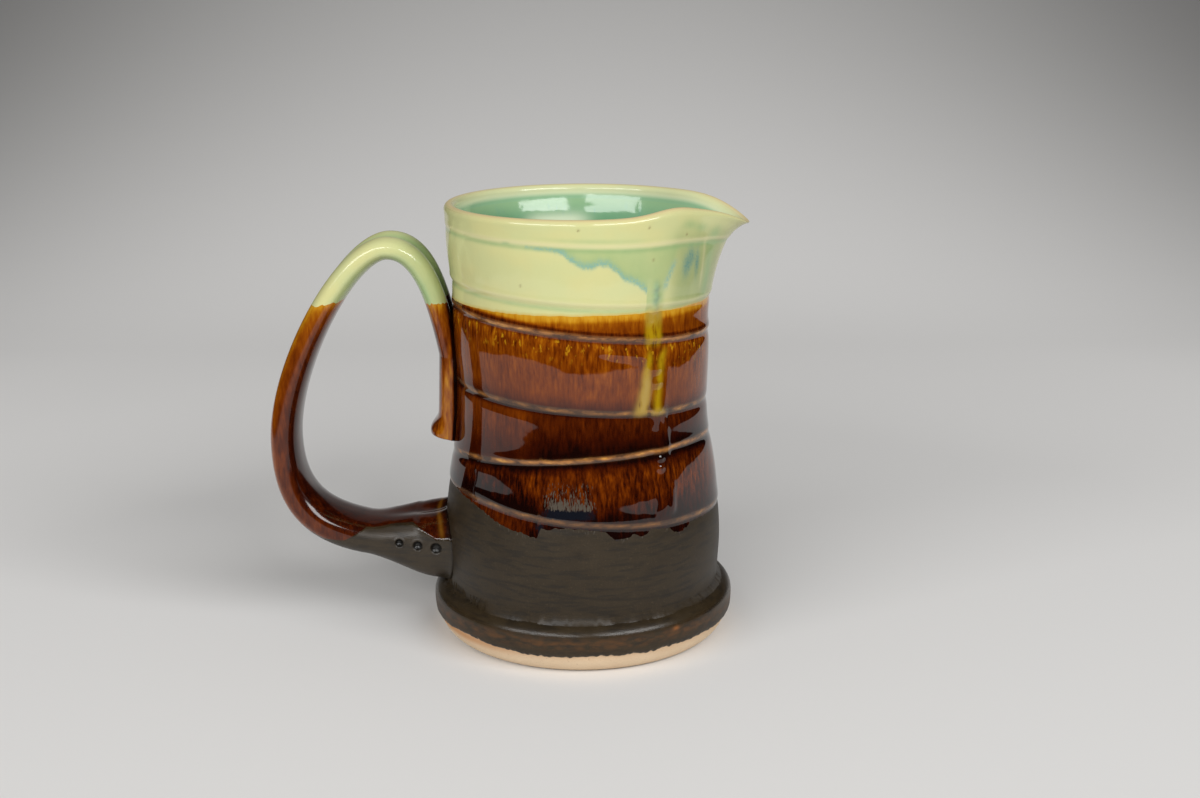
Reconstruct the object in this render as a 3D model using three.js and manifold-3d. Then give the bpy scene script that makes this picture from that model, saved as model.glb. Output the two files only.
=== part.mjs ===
// Cream jug: a wheel-thrown stoneware body with a rolled foot, a ribbed wall and a pulled lip,
// and a pulled strap handle that is luted to the wall with slip at both ends.
// Each glaze coat is a thin shell over the clay. Millimetres, +Z up. The origin is the middle of
// the flat base. The spout points along +X and the handle along -X.

import * as THREE from 'three';
import { mergeVertices } from 'three/addons/utils/BufferGeometryUtils.js';
import Module from 'manifold-3d';

const wasm = await Module();
wasm.setup();

// Thrown body. Radii are of the bare clay.
const HEIGHT = 120; // table to the top of the glazed lip
const BASE_RADIUS = 34.8; // flat face that the jug stands on
const FOOT_RADIUS = 41.2; // widest ring of the rolled foot
const FOOT_MIDDLE = 9.5; // height of that ring
const FOOT_HEIGHT = 14.2; // where the rolled foot meets the wall
const NECK_RADIUS = 37.1; // wall just above the foot
const BELLY_RADIUS = 37.7;
const BELLY_HEIGHT = 27;
const WAIST_RADIUS = 33.6;
const WAIST_HEIGHT = 66;
const FLARE_HEIGHT = 82; // where the wall starts to open towards the lip
const FLARE_EASE = 1.05; // 1 opens evenly, more opens later
const LIP_RADIUS = 36;
const WALL = 3.4;
const LIP_WALL = 1.8; // clay at the lip
const LIP_TAPER = 10; // height over which the wall thins to the lip
const FLOOR = 6;
const FLOOR_CORNER = 9; // inside radius between floor and wall

// Throwing ribs. A rib lies at a share of the wall's height, and slants down to one side.
const RIBS = [
  { share: 0.255, slant: 3.2, turn: 180 },
  { share: 0.387, slant: 3.6, turn: -48 },
  { share: 0.532, slant: 2.7, turn: 180 },
  { share: 0.719, slant: 3.6, turn: 180 },
  { share: 0.804, slant: 2.7, turn: 180 },
  { share: 0.923, slant: 3, turn: -130 },
];
const RIB_RELIEF = 0.3; // crest of a rib above the wall
const RIB_WIDTH = 2.2;
const GROOVE_RELIEF = 0.35; // groove under each rib
const GROOVE_DROP = 3; // from the crest down to the groove

// Spout, pulled out and down from the lip
const SPOUT_REACH = 8.1;
const SPOUT_DROP = 3.8;
const SPOUT_DEPTH = 34.5; // how far below the lip the pull begins
const SPOUT_ANGLE = 26; // degrees from the middle of the spout to a third of its reach
const SPOUT_POINT = 2.3; // 2 is round, less is more pointed
const SPOUT_DROOP = 1.6; // more lets only the tip hang down
const SPOUT_OUT_EASE = 3.6; // how late the pull turns outwards, and how late it turns down
const SPOUT_DOWN_EASE = 5.4;
const SHOULDER_LIFT = 1.25; // rise of the lip on one side of the spout
const SHOULDER_TURN = -47;
const SHOULDER_WIDTH = 15;

// Strap handle. Distances out are from the waist, heights from the table.
const TAIL_DROP = 41; // where the strap starts to leave the wall, below the top of the lip
const TAIL_LENGTH = 23.5; // from there down to its cut end, pressed on the wall
const TAIL_PROUD = 5.2; // strap's face above the clay wall
const TAIL_SINK = 1.4; // how deep the strap is pressed in
const TAIL_TOE = 2.2; // thick ridge just above the cut end
const ARCH_OUT = 18.4;
const ARCH_DROP = 11.7; // middle of the arch below the lip
const GRIP_OUT = 48.45; // outermost point
const GRIP_HEIGHT = 54.5;
const BEND_OUT = 27;
const BEND_HEIGHT = 27.2;
const ROOT_HEIGHT = 24.3;
const ROOT_SINK = 2;
const STRAP_WIDTHS = { tail: 17, rise: 17.5, arch: 19.5, grip: 18.5, bend: 20, root: 24.5 };
const STRAP_THICKNESS = { arch: 7, grip: 8.1, bend: 10.4, root: 19.8 };
const STRAP_GROOVE = 1.7; // channel between the two rolls of the strap's outer face
const STRAP_GROOVE_WIDTH = 3.4;
const ROOT_SCOOP = 1.2; // hollow along the top of the root
const ROOT_ROUNDING = 0.35; // last share of the root, where its edges round off into the wall
const TOE_LENGTH = 2.4;
const TOE_RISE = 1.6; // of the ridge above the cut

// How the strap bends between its points, as shares of the way across and of the way up or down
const RISE_BEND = { leave: [0.18, 0.52], arrive: [0.4, 1] };
const FALL_BEND = { leave: [0.375, 0], arrive: [1, 0.62] };
const GRIP_BEND = { leave: [0, 0.6], arrive: [0.3, 0.88] };
const ROOT_BEND = { leave: [0.3, 0.42], arrive: [0.66, 0.75] };

// Dimples pressed into both sides of the root, from the smallest to the largest
const DIMPLE_RADII = [1.2, 1.4, 1.6];
const DIMPLE_DEPTH = 0.8;
const DIMPLE_PITCH = 5.1;
const DIMPLE_OUT = 2.8; // last dimple from the clay wall
const DIMPLE_RISE = 1.1; // above the middle of the strap

// Glaze coats, slip and clearance
const GLAZE = 0.4;
const CLEARANCE = 0.3;
const SLIP = 0.6;
const COAT = GLAZE + CLEARANCE; // from the clay to the face of its glaze
const BARE_HEIGHT = 5.6; // bare clay below the lowest glaze
const BRONZE_HEIGHT = 38.5; // bronze glaze below, amber above
const CREAM_DEPTH = 25.8; // cream glaze below the top of the lip
const LIP_TURN = 4; // cream glaze down the inside of the lip
const HANDLE_BRONZE_OUT = 30; // bronze glaze on the root, nearer the wall than this

// Fineness of the surfaces
const COLUMNS = 32;
const COLUMN_CROWDING = 0.4; // columns stand closer together at the spout
const ROW_PITCH = 4.8;
const ARC_STEPS = 3;
const STRAP_SIDES = 14;
const STRAP_STEPS = 8; // rings in each length of the strap
const STRAP_SQUARENESS = 2.5; // exponent of the strap's rounded section, of its root and of the root's end
const ROOT_SQUARENESS = 4;
const END_SQUARENESS = 2.2;
const FOOT_SQUARENESS = 2.2;
const DIMPLE_SIDES = 8;
const HALVINGS = 30; // steps that close in on a place along the strap
const MERGE = 1e-4; // vertices nearer than this are one

const { clamp, degToRad, inverseLerp, lerp, smoothstep } = THREE.MathUtils;

// Clay surfaces

const lipCentre = HEIGHT - COAT - LIP_WALL / 2;
const turnEnd = HEIGHT - LIP_TURN; // lower edge of the cream glaze inside the lip
const creamHeight = HEIGHT - CREAM_DEPTH;
const tailHeight = HEIGHT - TAIL_DROP;
const cutHeight = tailHeight - TAIL_LENGTH; // the tail's cut end

// Radius of the wall without its foot
function wallRadius(z) {
  const belly = lerp(NECK_RADIUS, BELLY_RADIUS, smoothstep(z, FOOT_HEIGHT, BELLY_HEIGHT));
  const waist = (WAIST_RADIUS - BELLY_RADIUS) * smoothstep(z, BELLY_HEIGHT, WAIST_HEIGHT);
  const flare = clamp(inverseLerp(FLARE_HEIGHT, lipCentre, z), 0, 1) ** FLARE_EASE;
  return belly + waist + (LIP_RADIUS - WAIST_RADIUS) * flare;
}

// Radius of the clay outside, where the rolled foot is a superellipse about its widest ring
function clayRadius(z) {
  if (z >= FOOT_HEIGHT) return wallRadius(z);
  const below = z < FOOT_MIDDLE;
  const edge = below ? BASE_RADIUS : NECK_RADIUS;
  const share = below ? 1 - z / FOOT_MIDDLE : inverseLerp(FOOT_MIDDLE, FOOT_HEIGHT, z);
  return edge + (FOOT_RADIUS - edge) * (1 - share ** FOOT_SQUARENESS) ** (1 / FOOT_SQUARENESS);
}

function cavityRadius(z) {
  return wallRadius(z) - lerp(WALL, LIP_WALL, smoothstep(z, lipCentre - LIP_TAPER, lipCentre));
}

// Height of the ribs' crests and grooves above the plain wall at an angle and a height
function ribRelief(angle, z) {
  let relief = 0;
  for (const { share, slant, turn } of RIBS) {
    const crest = lerp(FOOT_HEIGHT, HEIGHT, share) + slant * Math.cos(angle - degToRad(turn));
    relief += RIB_RELIEF * Math.exp(-(((z - crest) / RIB_WIDTH) ** 2));
    relief -= GROOVE_RELIEF * Math.exp(-(((z - crest + GROOVE_DROP) / RIB_WIDTH) ** 2));
  }
  return relief * smoothstep(lipCentre - z, 0, LIP_TURN);
}

// How far the spout's pull moves the wall outwards, and how far it moves it up
function spoutPull(angle, z) {
  const pulled = Math.max(0, inverseLerp(lipCentre - SPOUT_DEPTH, lipCentre, z));
  const across = Math.exp(-((Math.abs(angle) / degToRad(SPOUT_ANGLE)) ** SPOUT_POINT));
  const shoulder = Math.exp(-(((angle - degToRad(SHOULDER_TURN)) / degToRad(SHOULDER_WIDTH)) ** 2));
  return {
    out: SPOUT_REACH * across * pulled ** SPOUT_OUT_EASE,
    up: (SHOULDER_LIFT * shoulder - SPOUT_DROP * across ** SPOUT_DROOP) * pulled ** SPOUT_DOWN_EASE,
  };
}

// Turned solids

// Heights of the rows on the outside: round the foot, then up the wall, with one at each glaze edge
function rowHeights() {
  const edges = [0, BARE_HEIGHT, FOOT_HEIGHT, BRONZE_HEIGHT, creamHeight, lipCentre];
  const heights = [FOOT_MIDDLE];
  for (let step = 1; step <= ARC_STEPS; step += 1) {
    const angle = (Math.PI * step) / (2 * ARC_STEPS + 2);
    heights.push(FOOT_MIDDLE * (1 - Math.cos(angle)), lerp(FOOT_MIDDLE, FOOT_HEIGHT, Math.sin(angle)));
  }
  const count = Math.round((lipCentre - FOOT_HEIGHT) / ROW_PITCH);
  for (let row = 1; row < count; row += 1) heights.push(lerp(FOOT_HEIGHT, lipCentre, row / count));
  const clear = heights.filter((z) => edges.every((edge) => Math.abs(z - edge) > ROW_PITCH / 3));
  const low = heights.filter((z) => z < BARE_HEIGHT / 2);
  return [...new Set([...edges, ...clear, ...low])].sort((a, b) => a - b);
}

const rows = rowHeights();

function rowsBetween(low, high) {
  return [low, ...rows.filter((z) => z > low + CLEARANCE && z < high - CLEARANCE), high];
}

const outside = (low, high, offset) =>
  rowsBetween(low, high).map((z) => new THREE.Vector2(clayRadius(z) + offset, z));

// Half circle round the lip's clay, from the outside over the top
function lipArc(offset) {
  const middle = clayRadius(lipCentre) - LIP_WALL / 2;
  const points = [];
  for (let step = 1; step < 2 * ARC_STEPS; step += 1) {
    const angle = (Math.PI * step) / (2 * ARC_STEPS);
    const radius = LIP_WALL / 2 + offset;
    points.push(new THREE.Vector2(middle + radius * Math.cos(angle), lipCentre + radius * Math.sin(angle)));
  }
  return points;
}

// Inside of the jug from a height down to the middle of the floor, an offset inwards from the clay
function cavity(high, offset) {
  const cornerTop = FLOOR + FLOOR_CORNER;
  const count = Math.round((turnEnd - cornerTop) / ROW_PITCH / 2);
  const heights = [high];
  for (let row = high > turnEnd ? count : count - 1; row >= 0; row -= 1) {
    heights.push(lerp(cornerTop, turnEnd, row / count));
  }
  const points = heights.map((z) => new THREE.Vector2(cavityRadius(z) - offset, z));
  const centre = cavityRadius(cornerTop) - FLOOR_CORNER;
  for (let step = 1; step <= ARC_STEPS; step += 1) {
    const angle = (Math.PI * step) / (2 * ARC_STEPS);
    const radius = FLOOR_CORNER - offset;
    points.push(new THREE.Vector2(centre + radius * Math.cos(angle), cornerTop - radius * Math.sin(angle)));
  }
  points.push(new THREE.Vector2(0, FLOOR + offset));
  return points;
}

// Position-only geometry with shared vertices and no empty triangles
function cleaned(geometry) {
  geometry.deleteAttribute('normal');
  geometry.deleteAttribute('uv');
  const merged = mergeVertices(geometry, MERGE);
  const corners = merged.index.array;
  const kept = [];
  for (let first = 0; first < corners.length; first += 3) {
    const [a, b, c] = corners.slice(first, first + 3);
    if (a !== b && b !== c && c !== a) kept.push(a, b, c);
  }
  merged.setIndex(kept);
  return merged;
}

// Faces of a turned profile, each split the same way up whether the profile climbs or falls there,
// so that two layers of one wall never cross
function turnedFaces(profile) {
  const faces = [];
  for (let column = 0; column < COLUMNS; column += 1) {
    for (let row = 0; row < profile.length - 1; row += 1) {
      const a = column * profile.length + row;
      const b = a + profile.length;
      if (profile[row + 1].y >= profile[row].y) faces.push(a, b, a + 1, b + 1, a + 1, b);
      else faces.push(a, b, b + 1, a, b + 1, a + 1);
    }
  }
  return faces;
}

// Turns a profile about the axis, then crowds its columns to the spout, ribs it and pulls the spout
function turned(profile) {
  const geometry = new THREE.LatheGeometry(profile, COLUMNS);
  geometry.setIndex(turnedFaces(profile));
  geometry.rotateX(Math.PI / 2);
  const positions = geometry.attributes.position;
  const point = new THREE.Vector3();
  for (let index = 0; index < positions.count; index += 1) {
    point.fromBufferAttribute(positions, index);
    const radius = Math.hypot(point.x, point.y);
    if (radius < CLEARANCE) continue;
    const even = Math.atan2(point.y, point.x);
    const angle = even - COLUMN_CROWDING * Math.sin(even);
    const pull = spoutPull(angle, point.z);
    const ribbed = radius > clayRadius(point.z) - WALL / 2 ? ribRelief(angle, point.z) : 0;
    const reach = radius + pull.out + ribbed;
    positions.setXYZ(index, reach * Math.cos(angle), reach * Math.sin(angle), point.z + pull.up);
  }
  return cleaned(geometry);
}

// A coat on the outside between two heights
function wallCoat(low, high) {
  const face = outside(low, high, COAT);
  const back = outside(low, high, CLEARANCE).reverse();
  return turned([...face, ...back, face[0]]);
}

// The whole outside, filled, for cutting what meets the wall
function wallEnvelope(offset) {
  const skin = outside(0, lipCentre, offset);
  const bottom = new THREE.Vector2(0, -offset);
  const under = new THREE.Vector2(BASE_RADIUS, -offset);
  return turned([bottom, under, ...skin, new THREE.Vector2(0, lipCentre)]);
}

// Booleans

function solidOf(geometry) {
  return new wasm.Manifold(new wasm.Mesh({
    numProp: 3,
    vertProperties: new Float32Array(geometry.attributes.position.array),
    triVerts: new Uint32Array(geometry.index.array),
  }));
}

function geometryOf(solid) {
  const { vertProperties, triVerts } = solid.getMesh();
  const geometry = new THREE.BufferGeometry();
  geometry.setAttribute('position', new THREE.BufferAttribute(new Float32Array(vertProperties), 3));
  geometry.setIndex(new THREE.BufferAttribute(new Uint32Array(triVerts), 1));
  return geometry;
}

// Strap handle

const tailMiddle = (z) => clayRadius(z) + (TAIL_PROUD - TAIL_SINK) / 2;
const onPlane = (out, z) => new THREE.Vector3(-out, 0, z);

const tailEnd = onPlane(tailMiddle(cutHeight), cutHeight);
const tailTop = onPlane(tailMiddle(tailHeight), tailHeight);
const archTop = onPlane(WAIST_RADIUS + ARCH_OUT, HEIGHT - ARCH_DROP);
const gripEnd = onPlane(WAIST_RADIUS + GRIP_OUT, GRIP_HEIGHT);
const bendEnd = onPlane(WAIST_RADIUS + BEND_OUT, BEND_HEIGHT);
const rootEnd = onPlane(clayRadius(ROOT_HEIGHT) - ROOT_SINK, ROOT_HEIGHT);

// A curve from one point to another whose two handles lie at shares of the way between them
function bent(from, to, { leave, arrive }) {
  const handle = ([across, up]) => onPlane(-lerp(from.x, to.x, across), lerp(from.z, to.z, up));
  return new THREE.CubicBezierCurve3(from, handle(leave), handle(arrive), to);
}

// The middle of the strap in five lengths, each from one of the points above to the next
const lengths = [
  new THREE.LineCurve3(tailEnd, tailTop),
  bent(tailTop, archTop, RISE_BEND),
  bent(archTop, gripEnd, FALL_BEND),
  bent(gripEnd, bendEnd, GRIP_BEND),
  bent(bendEnd, rootEnd, ROOT_BEND),
];

// The points' own places along the strap, counted in lengths
const [RISE, ARCH, GRIP, BEND, ROOT] = [1, 2, 3, 4, 5];

// The strap's place at u, counted in lengths from the tail's end
function strapPlace(u) {
  const index = clamp(Math.floor(u), 0, lengths.length - 1);
  const along = clamp(u - index, 0, 1);
  return { centre: lengths[index].getPoint(along), ahead: lengths[index].getTangent(along) };
}

// A size along the strap, eased from each of its points to the next
function eased(sizes, u) {
  const index = clamp(Math.floor(u), 0, sizes.length - 2);
  return lerp(sizes[index], sizes[index + 1], smoothstep(u, index, index + 1));
}

const pressed = TAIL_PROUD + TAIL_SINK;
const widths = Object.values(STRAP_WIDTHS);
const thicknesses = [pressed, pressed, ...Object.values(STRAP_THICKNESS)];

// Ring of points round the strap at u, drawn in by an inset: a rounded rectangle with a groove
// down its outer face, a hollow along the top of the root and a thick toe at the tail
function strapRing(u, inset) {
  const { centre, ahead } = strapPlace(u);
  const across = new THREE.Vector3(0, 1, 0);
  const outward = across.clone().cross(ahead);
  const halfWidth = eased(widths, u) / 2 - inset;
  const halfThick = eased(thicknesses, u) / 2 - inset;
  const atRoot = smoothstep(u, BEND, ROOT);
  const groove = STRAP_GROOVE * smoothstep(u, 0, RISE) * (1 - atRoot);
  const toe = TAIL_TOE * Math.exp(-(((centre.z - cutHeight - TOE_RISE) / TOE_LENGTH) ** 2)) * Number(u < RISE);
  const ending = smoothstep(u, ROOT - ROOT_ROUNDING, ROOT);
  const squareness = lerp(lerp(STRAP_SQUARENESS, ROOT_SQUARENESS, atRoot), END_SQUARENESS, ending);
  const power = 2 / squareness;
  const ring = [];
  for (let side = 0; side < STRAP_SIDES; side += 1) {
    const angle = (2 * Math.PI * side) / STRAP_SIDES;
    const face = Math.sign(Math.cos(angle)) * Math.abs(Math.cos(angle)) ** power;
    const edge = Math.sign(Math.sin(angle)) * Math.abs(Math.sin(angle)) ** power;
    const hollow = Math.exp(-(((halfWidth * edge) / STRAP_GROOVE_WIDTH) ** 2));
    let height = halfThick * face;
    if (face > 0) height -= groove * hollow;
    else height += ROOT_SCOOP * atRoot * hollow + toe * face;
    ring.push(centre.clone().addScaledVector(outward, height).addScaledVector(across, halfWidth * edge));
  }
  return ring;
}

// Where the strap's middle passes a height or a distance out, between two of its points
function strapAt(from, to, reached) {
  let [low, high] = [from, to];
  for (let halving = 0; halving < HALVINGS; halving += 1) {
    const middle = (low + high) / 2;
    if (reached(strapPlace(middle).centre)) high = middle;
    else low = middle;
  }
  return high;
}

const creamStart = strapAt(RISE, ARCH, (point) => point.z > creamHeight);
const creamEnd = strapAt(ARCH, GRIP, (point) => point.z < creamHeight);
const bronzeStart = strapAt(GRIP, BEND, (point) => -point.x < WAIST_RADIUS + HANDLE_BRONZE_OUT);

// Places of the rings that every layer of the strap shares, with one at each glaze edge
function strapStations() {
  const edges = [creamStart, creamEnd, bronzeStart];
  const even = Array.from({ length: ROOT * STRAP_STEPS + 1 }, (_, step) => step / STRAP_STEPS);
  const clear = even.filter((u) => edges.every((edge) => Math.abs(u - edge) > 1 / (2 * STRAP_STEPS)));
  return [...clear, ...edges].sort((a, b) => a - b);
}

const stations = strapStations();

// Solid through the strap's rings from u to u, closed with a fan at each end
function strapLoft(from, to, inset) {
  const nearby = 1 / (4 * STRAP_STEPS);
  const places = [from, ...stations.filter((u) => u > from + nearby && u < to - nearby), to];
  const points = places.flatMap((u) => strapRing(u, inset));
  const faces = [];
  points.push(strapPlace(from).centre, strapPlace(to).centre);
  const last = (places.length - 1) * STRAP_SIDES;
  for (let side = 0; side < STRAP_SIDES; side += 1) {
    const next = (side + 1) % STRAP_SIDES;
    for (let base = 0; base < last; base += STRAP_SIDES) {
      const above = base + STRAP_SIDES;
      faces.push(base + side, base + next, above + next, base + side, above + next, above + side);
    }
    faces.push(points.length - 2, next, side, points.length - 1, last + side, last + next);
  }
  const geometry = new THREE.BufferGeometry().setFromPoints(points);
  geometry.setIndex(faces);
  return geometry;
}

// Spheres that press the dimples into both sides of the root, grown by a layer's depth
function dimpled(solid, grown) {
  let pressedIn = solid;
  DIMPLE_RADII.forEach((radius, index) => {
    const ball = (radius ** 2 + DIMPLE_DEPTH ** 2) / (2 * DIMPLE_DEPTH);
    const out = clayRadius(ROOT_HEIGHT) + DIMPLE_OUT + DIMPLE_PITCH * (DIMPLE_RADII.length - 1 - index);
    const u = BEND + inverseLerp(bendEnd.x, rootEnd.x, -out);
    const lift = ball - DIMPLE_DEPTH;
    for (const side of [-1, 1]) {
      const geometry = cleaned(new THREE.SphereGeometry(ball + grown, DIMPLE_SIDES, DIMPLE_SIDES / 2));
      const { centre } = strapPlace(u);
      geometry.translate(centre.x, side * (eased(widths, u) / 2 + lift), centre.z + DIMPLE_RISE);
      pressedIn = pressedIn.subtract(solidOf(geometry));
    }
  });
  return pressedIn;
}

// Where the glaze's underside and the clay begin, inside the coat over the cut end
const tailGlazed = GLAZE / TAIL_LENGTH;
const tailClay = COAT / TAIL_LENGTH;

const wallFace = solidOf(wallEnvelope(CLEARANCE));
const slipFace = solidOf(wallEnvelope(CLEARANCE + SLIP));
const lutedFace = solidOf(wallEnvelope(2 * CLEARANCE + SLIP));
const glazedFace = solidOf(wallEnvelope(COAT + CLEARANCE));

const strapClay = (from, to) => solidOf(strapLoft(from, to, COAT));
const strapHole = solidOf(strapLoft(tailClay / 2, ROOT, COAT - CLEARANCE));
const underGlaze = dimpled(solidOf(strapLoft(tailGlazed, ROOT, GLAZE)), GLAZE);

// A coat on the strap from u to u, short of its neighbours by half a clearance at each end
function strapCoat(from, to) {
  const gap = CLEARANCE / 2 / lengths[GRIP].getLength();
  const start = from > 0 ? from + gap : from;
  const end = to < ROOT ? to - gap : to;
  const skin = dimpled(solidOf(strapLoft(start, end, 0)), 0);
  return geometryOf(skin.subtract(underGlaze).subtract(glazedFace));
}

const slipPatch = (from, to) => geometryOf(strapClay(from, to).intersect(slipFace).subtract(wallFace));
const holed = (coat) => geometryOf(solidOf(coat).subtract(strapHole));

// Pieces

function thrownBody() {
  const middle = new THREE.Vector2(0, 0);
  return turned([middle, ...outside(0, lipCentre, 0), ...lipArc(0), ...cavity(lipCentre, 0)]);
}

function pulledHandle() {
  return geometryOf(dimpled(strapClay(tailClay, ROOT), COAT).subtract(lutedFace));
}

function liningGlaze() {
  const top = turnEnd - CLEARANCE;
  return turned([...cavity(top, CLEARANCE).reverse(), ...cavity(top, COAT)]);
}

// Up the outside, over the lip, a little way down the inside, and back along the clay
function creamGlaze() {
  const low = creamHeight + CLEARANCE / 2;
  const inside = (z, offset) => new THREE.Vector2(cavityRadius(z) - offset, z);
  const side = (offset) => [
    ...outside(low, lipCentre, offset),
    ...lipArc(offset),
    inside(lipCentre, offset),
    inside(turnEnd, offset),
  ];
  const face = side(COAT);
  return turned([...face, ...side(CLEARANCE).reverse(), face[0]]);
}

const amberGlaze = () => holed(wallCoat(BRONZE_HEIGHT + CLEARANCE / 2, creamHeight - CLEARANCE / 2));
const bronzeGlaze = () => holed(wallCoat(BARE_HEIGHT, BRONZE_HEIGHT - CLEARANCE / 2));

// Finishes
const finish = (color, roughness) => new THREE.MeshStandardMaterial({ color, roughness, metalness: 0 });
const buffClay = finish(0xcdb08a, 0.85);
const slipClay = finish(0xa8865f, 0.85);
const celadon = finish(0x8fc4a0, 0.15);
const cream = finish(0xd9d2a0, 0.15);
const amber = finish(0x5a2508, 0.12);
const bronze = finish(0x2b221b, 0.45);

const jug = new THREE.Group();

function add(name, geometry, material) {
  const mesh = new THREE.Mesh(geometry, material);
  mesh.name = name;
  jug.add(mesh);
}

add('thrown_body', thrownBody(), buffClay);
add('pulled_handle', pulledHandle(), buffClay);
add('upper_slip_joint', slipPatch(tailClay, ARCH), slipClay);
add('lower_slip_joint', slipPatch(BEND, ROOT), slipClay);
add('lining_glaze', liningGlaze(), celadon);
add('cream_glaze', creamGlaze(), cream);
add('amber_glaze', amberGlaze(), amber);
add('bronze_glaze', bronzeGlaze(), bronze);
add('handle_tail_glaze', strapCoat(0, creamStart), amber);
add('handle_cream_glaze', strapCoat(creamStart, creamEnd), cream);
add('handle_grip_glaze', strapCoat(creamEnd, bronzeStart), amber);
add('handle_root_glaze', strapCoat(bronzeStart, ROOT), bronze);

export default jug;
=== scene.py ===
import math

import bpy
import numpy as np
from mathutils import Matrix


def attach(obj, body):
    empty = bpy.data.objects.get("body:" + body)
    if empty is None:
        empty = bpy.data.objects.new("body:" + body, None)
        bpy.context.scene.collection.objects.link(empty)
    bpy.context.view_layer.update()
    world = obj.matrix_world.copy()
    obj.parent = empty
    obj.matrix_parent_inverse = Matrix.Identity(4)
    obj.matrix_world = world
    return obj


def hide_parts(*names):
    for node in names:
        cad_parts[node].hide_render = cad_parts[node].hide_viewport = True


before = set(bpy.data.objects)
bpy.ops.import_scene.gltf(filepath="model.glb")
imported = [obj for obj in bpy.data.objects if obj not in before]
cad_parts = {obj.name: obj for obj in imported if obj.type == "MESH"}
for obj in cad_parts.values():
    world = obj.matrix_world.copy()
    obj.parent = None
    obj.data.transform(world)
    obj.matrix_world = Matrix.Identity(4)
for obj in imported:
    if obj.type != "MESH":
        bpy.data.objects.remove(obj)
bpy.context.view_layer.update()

# Camera
# A 50 mm lens in front of the jug and a little above it, at the photograph's viewing angle.
# Its turns follow from the ellipses of the lip and the foot.
eye = (0.0, -0.446, 0.1822)
pitch_down = 0.2572
turn_left = -0.0112
roll = -0.0040

camera_data = bpy.data.cameras.new("camera")
camera_data.lens = 50
camera_data.sensor_width = 36
camera = bpy.data.objects.new("camera", camera_data)
camera.matrix_world = (
    Matrix.Translation(eye)
    @ Matrix.Rotation(turn_left, 4, "Z")
    @ Matrix.Rotation(math.pi / 2 - pitch_down, 4, "X")
    @ Matrix.Rotation(roll, 4, "Z")
)
bpy.context.scene.collection.objects.link(camera)
bpy.context.scene.camera = camera

# Thrown body
# The jug is thrown in buff stoneware: a floor, a wall drawn up thin to the lip, a foot rolled outwards
# and a pouring lip pulled from the rim. Only the strip under the glaze and the wire-cut base stay bare.
height = 0.120
base_radius = 0.0348
foot_radius = 0.0412
foot_middle = 0.0095
foot_height = 0.0142
foot_squareness = 2.2
neck_radius = 0.0371
belly_radius = 0.0377
belly_height = 0.027
waist_radius = 0.0336
waist_height = 0.068
flare_height = 0.074
flare_ease = 1.5
lip_radius = 0.036
wall_thickness = 0.0034
lip_wall = 0.0018
lip_taper = 0.0085
floor_thickness = 0.006
floor_corner = 0.009
coat = 0.0007
bare_height = 0.0056
lip_centre = height - coat - lip_wall / 2


def smoothstep(value, low, high):
    """Share of the way from low to high, eased at both ends."""
    share = np.clip((value - low) / (high - low), 0, 1)
    return share * share * (3 - 2 * share)


def faded(value, start, full, fall, end):
    """A share that rises from start to full and falls again from fall to end, eased."""
    return smoothstep(value, start, full) * smoothstep(value, end, fall)


def bell(distance, width, power=2):
    """1 in the middle and about a third at the width on both sides; a higher power flattens its top."""
    return np.exp(-(np.abs(distance / width) ** power))


def wall_radius(z):
    """Neck to belly to waist by eased steps, then a flare that rises as a power of the height."""
    belly = neck_radius + (belly_radius - neck_radius) * smoothstep(z, foot_height, belly_height)
    waist = (waist_radius - belly_radius) * smoothstep(z, belly_height, waist_height)
    flare = np.clip((z - flare_height) / (lip_centre - flare_height), 0, 1) ** flare_ease
    return belly + waist + (lip_radius - waist_radius) * flare


def clay_radius(z):
    """The wall's radius, with the rolled foot as a superellipse above and below its widest ring."""
    below = z < foot_middle
    edge = np.where(below, base_radius, neck_radius)
    share = np.where(below, 1 - z / foot_middle, (z - foot_middle) / (foot_height - foot_middle))
    swell = (1 - np.clip(share, 0, 1) ** foot_squareness) ** (1 / foot_squareness)
    return np.where(z >= foot_height, wall_radius(z), edge + (foot_radius - edge) * swell)


def cavity_radius(z):
    """The wall's radius less the wall, which thins towards the lip."""
    thinning = smoothstep(z, lip_centre - lip_taper, lip_centre)
    return wall_radius(z) - wall_thickness - (lip_wall - wall_thickness) * thinning


# Throwing ribs, each a crest with a groove under it: middle height, slant and where its high side is
rib_middle = np.array([0.0412, 0.0551, 0.0705, 0.0903, 0.0986, 0.1137])
rib_slant = np.array([0.0032, 0.0036, 0.0027, 0.0036, 0.0023, 0.0013])
rib_turn = np.radians([180, -48, 180, 180, 180, 180])
crest_relief = np.array([0.26, 0.14, 0.10, 0.20, 0.15, 0.10]) * 1e-3
crest_rise = np.array([2.5, 1.9, 2.2, 1.2, 1.0, 1.0]) * 1e-3
groove_relief = np.array([0.13, 0.16, 0.24, 0.24, 0.22, 0.13]) * 1e-3
crest_width = 0.0006
groove_width = 0.0010
groove_run_out = 0.0015
groove_drop = 0.0014
band_bulge = np.array([0.026, 0.008, 0.021, -0.030, 0.020])
relief_start = 0.03
lip_smooth = 0.004
# The potter's hand left the lower front pressed in and swollen: turn, height, width round the wall,
# spread up it and how far out it stands
presses = (
    (math.radians(-138), 0.0442, math.radians(22), 0.0135, -0.0014),
    (math.radians(-74), 0.050, math.radians(22), 0.0135, 0.0005),
    (math.radians(-37), 0.043, math.radians(15), 0.0125, -0.0009),
)


def by_rib(values, angle):
    """One value for each rib, shaped to go with an array of angles."""
    return values.reshape((-1,) + (1,) * angle.ndim)


def crest_heights(angle):
    """Heights of all crests at an angle, one row for each rib, as cosines of the angle."""
    return by_rib(rib_middle, angle) + by_rib(rib_slant, angle) * np.cos(angle - by_rib(rib_turn, angle))


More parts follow.
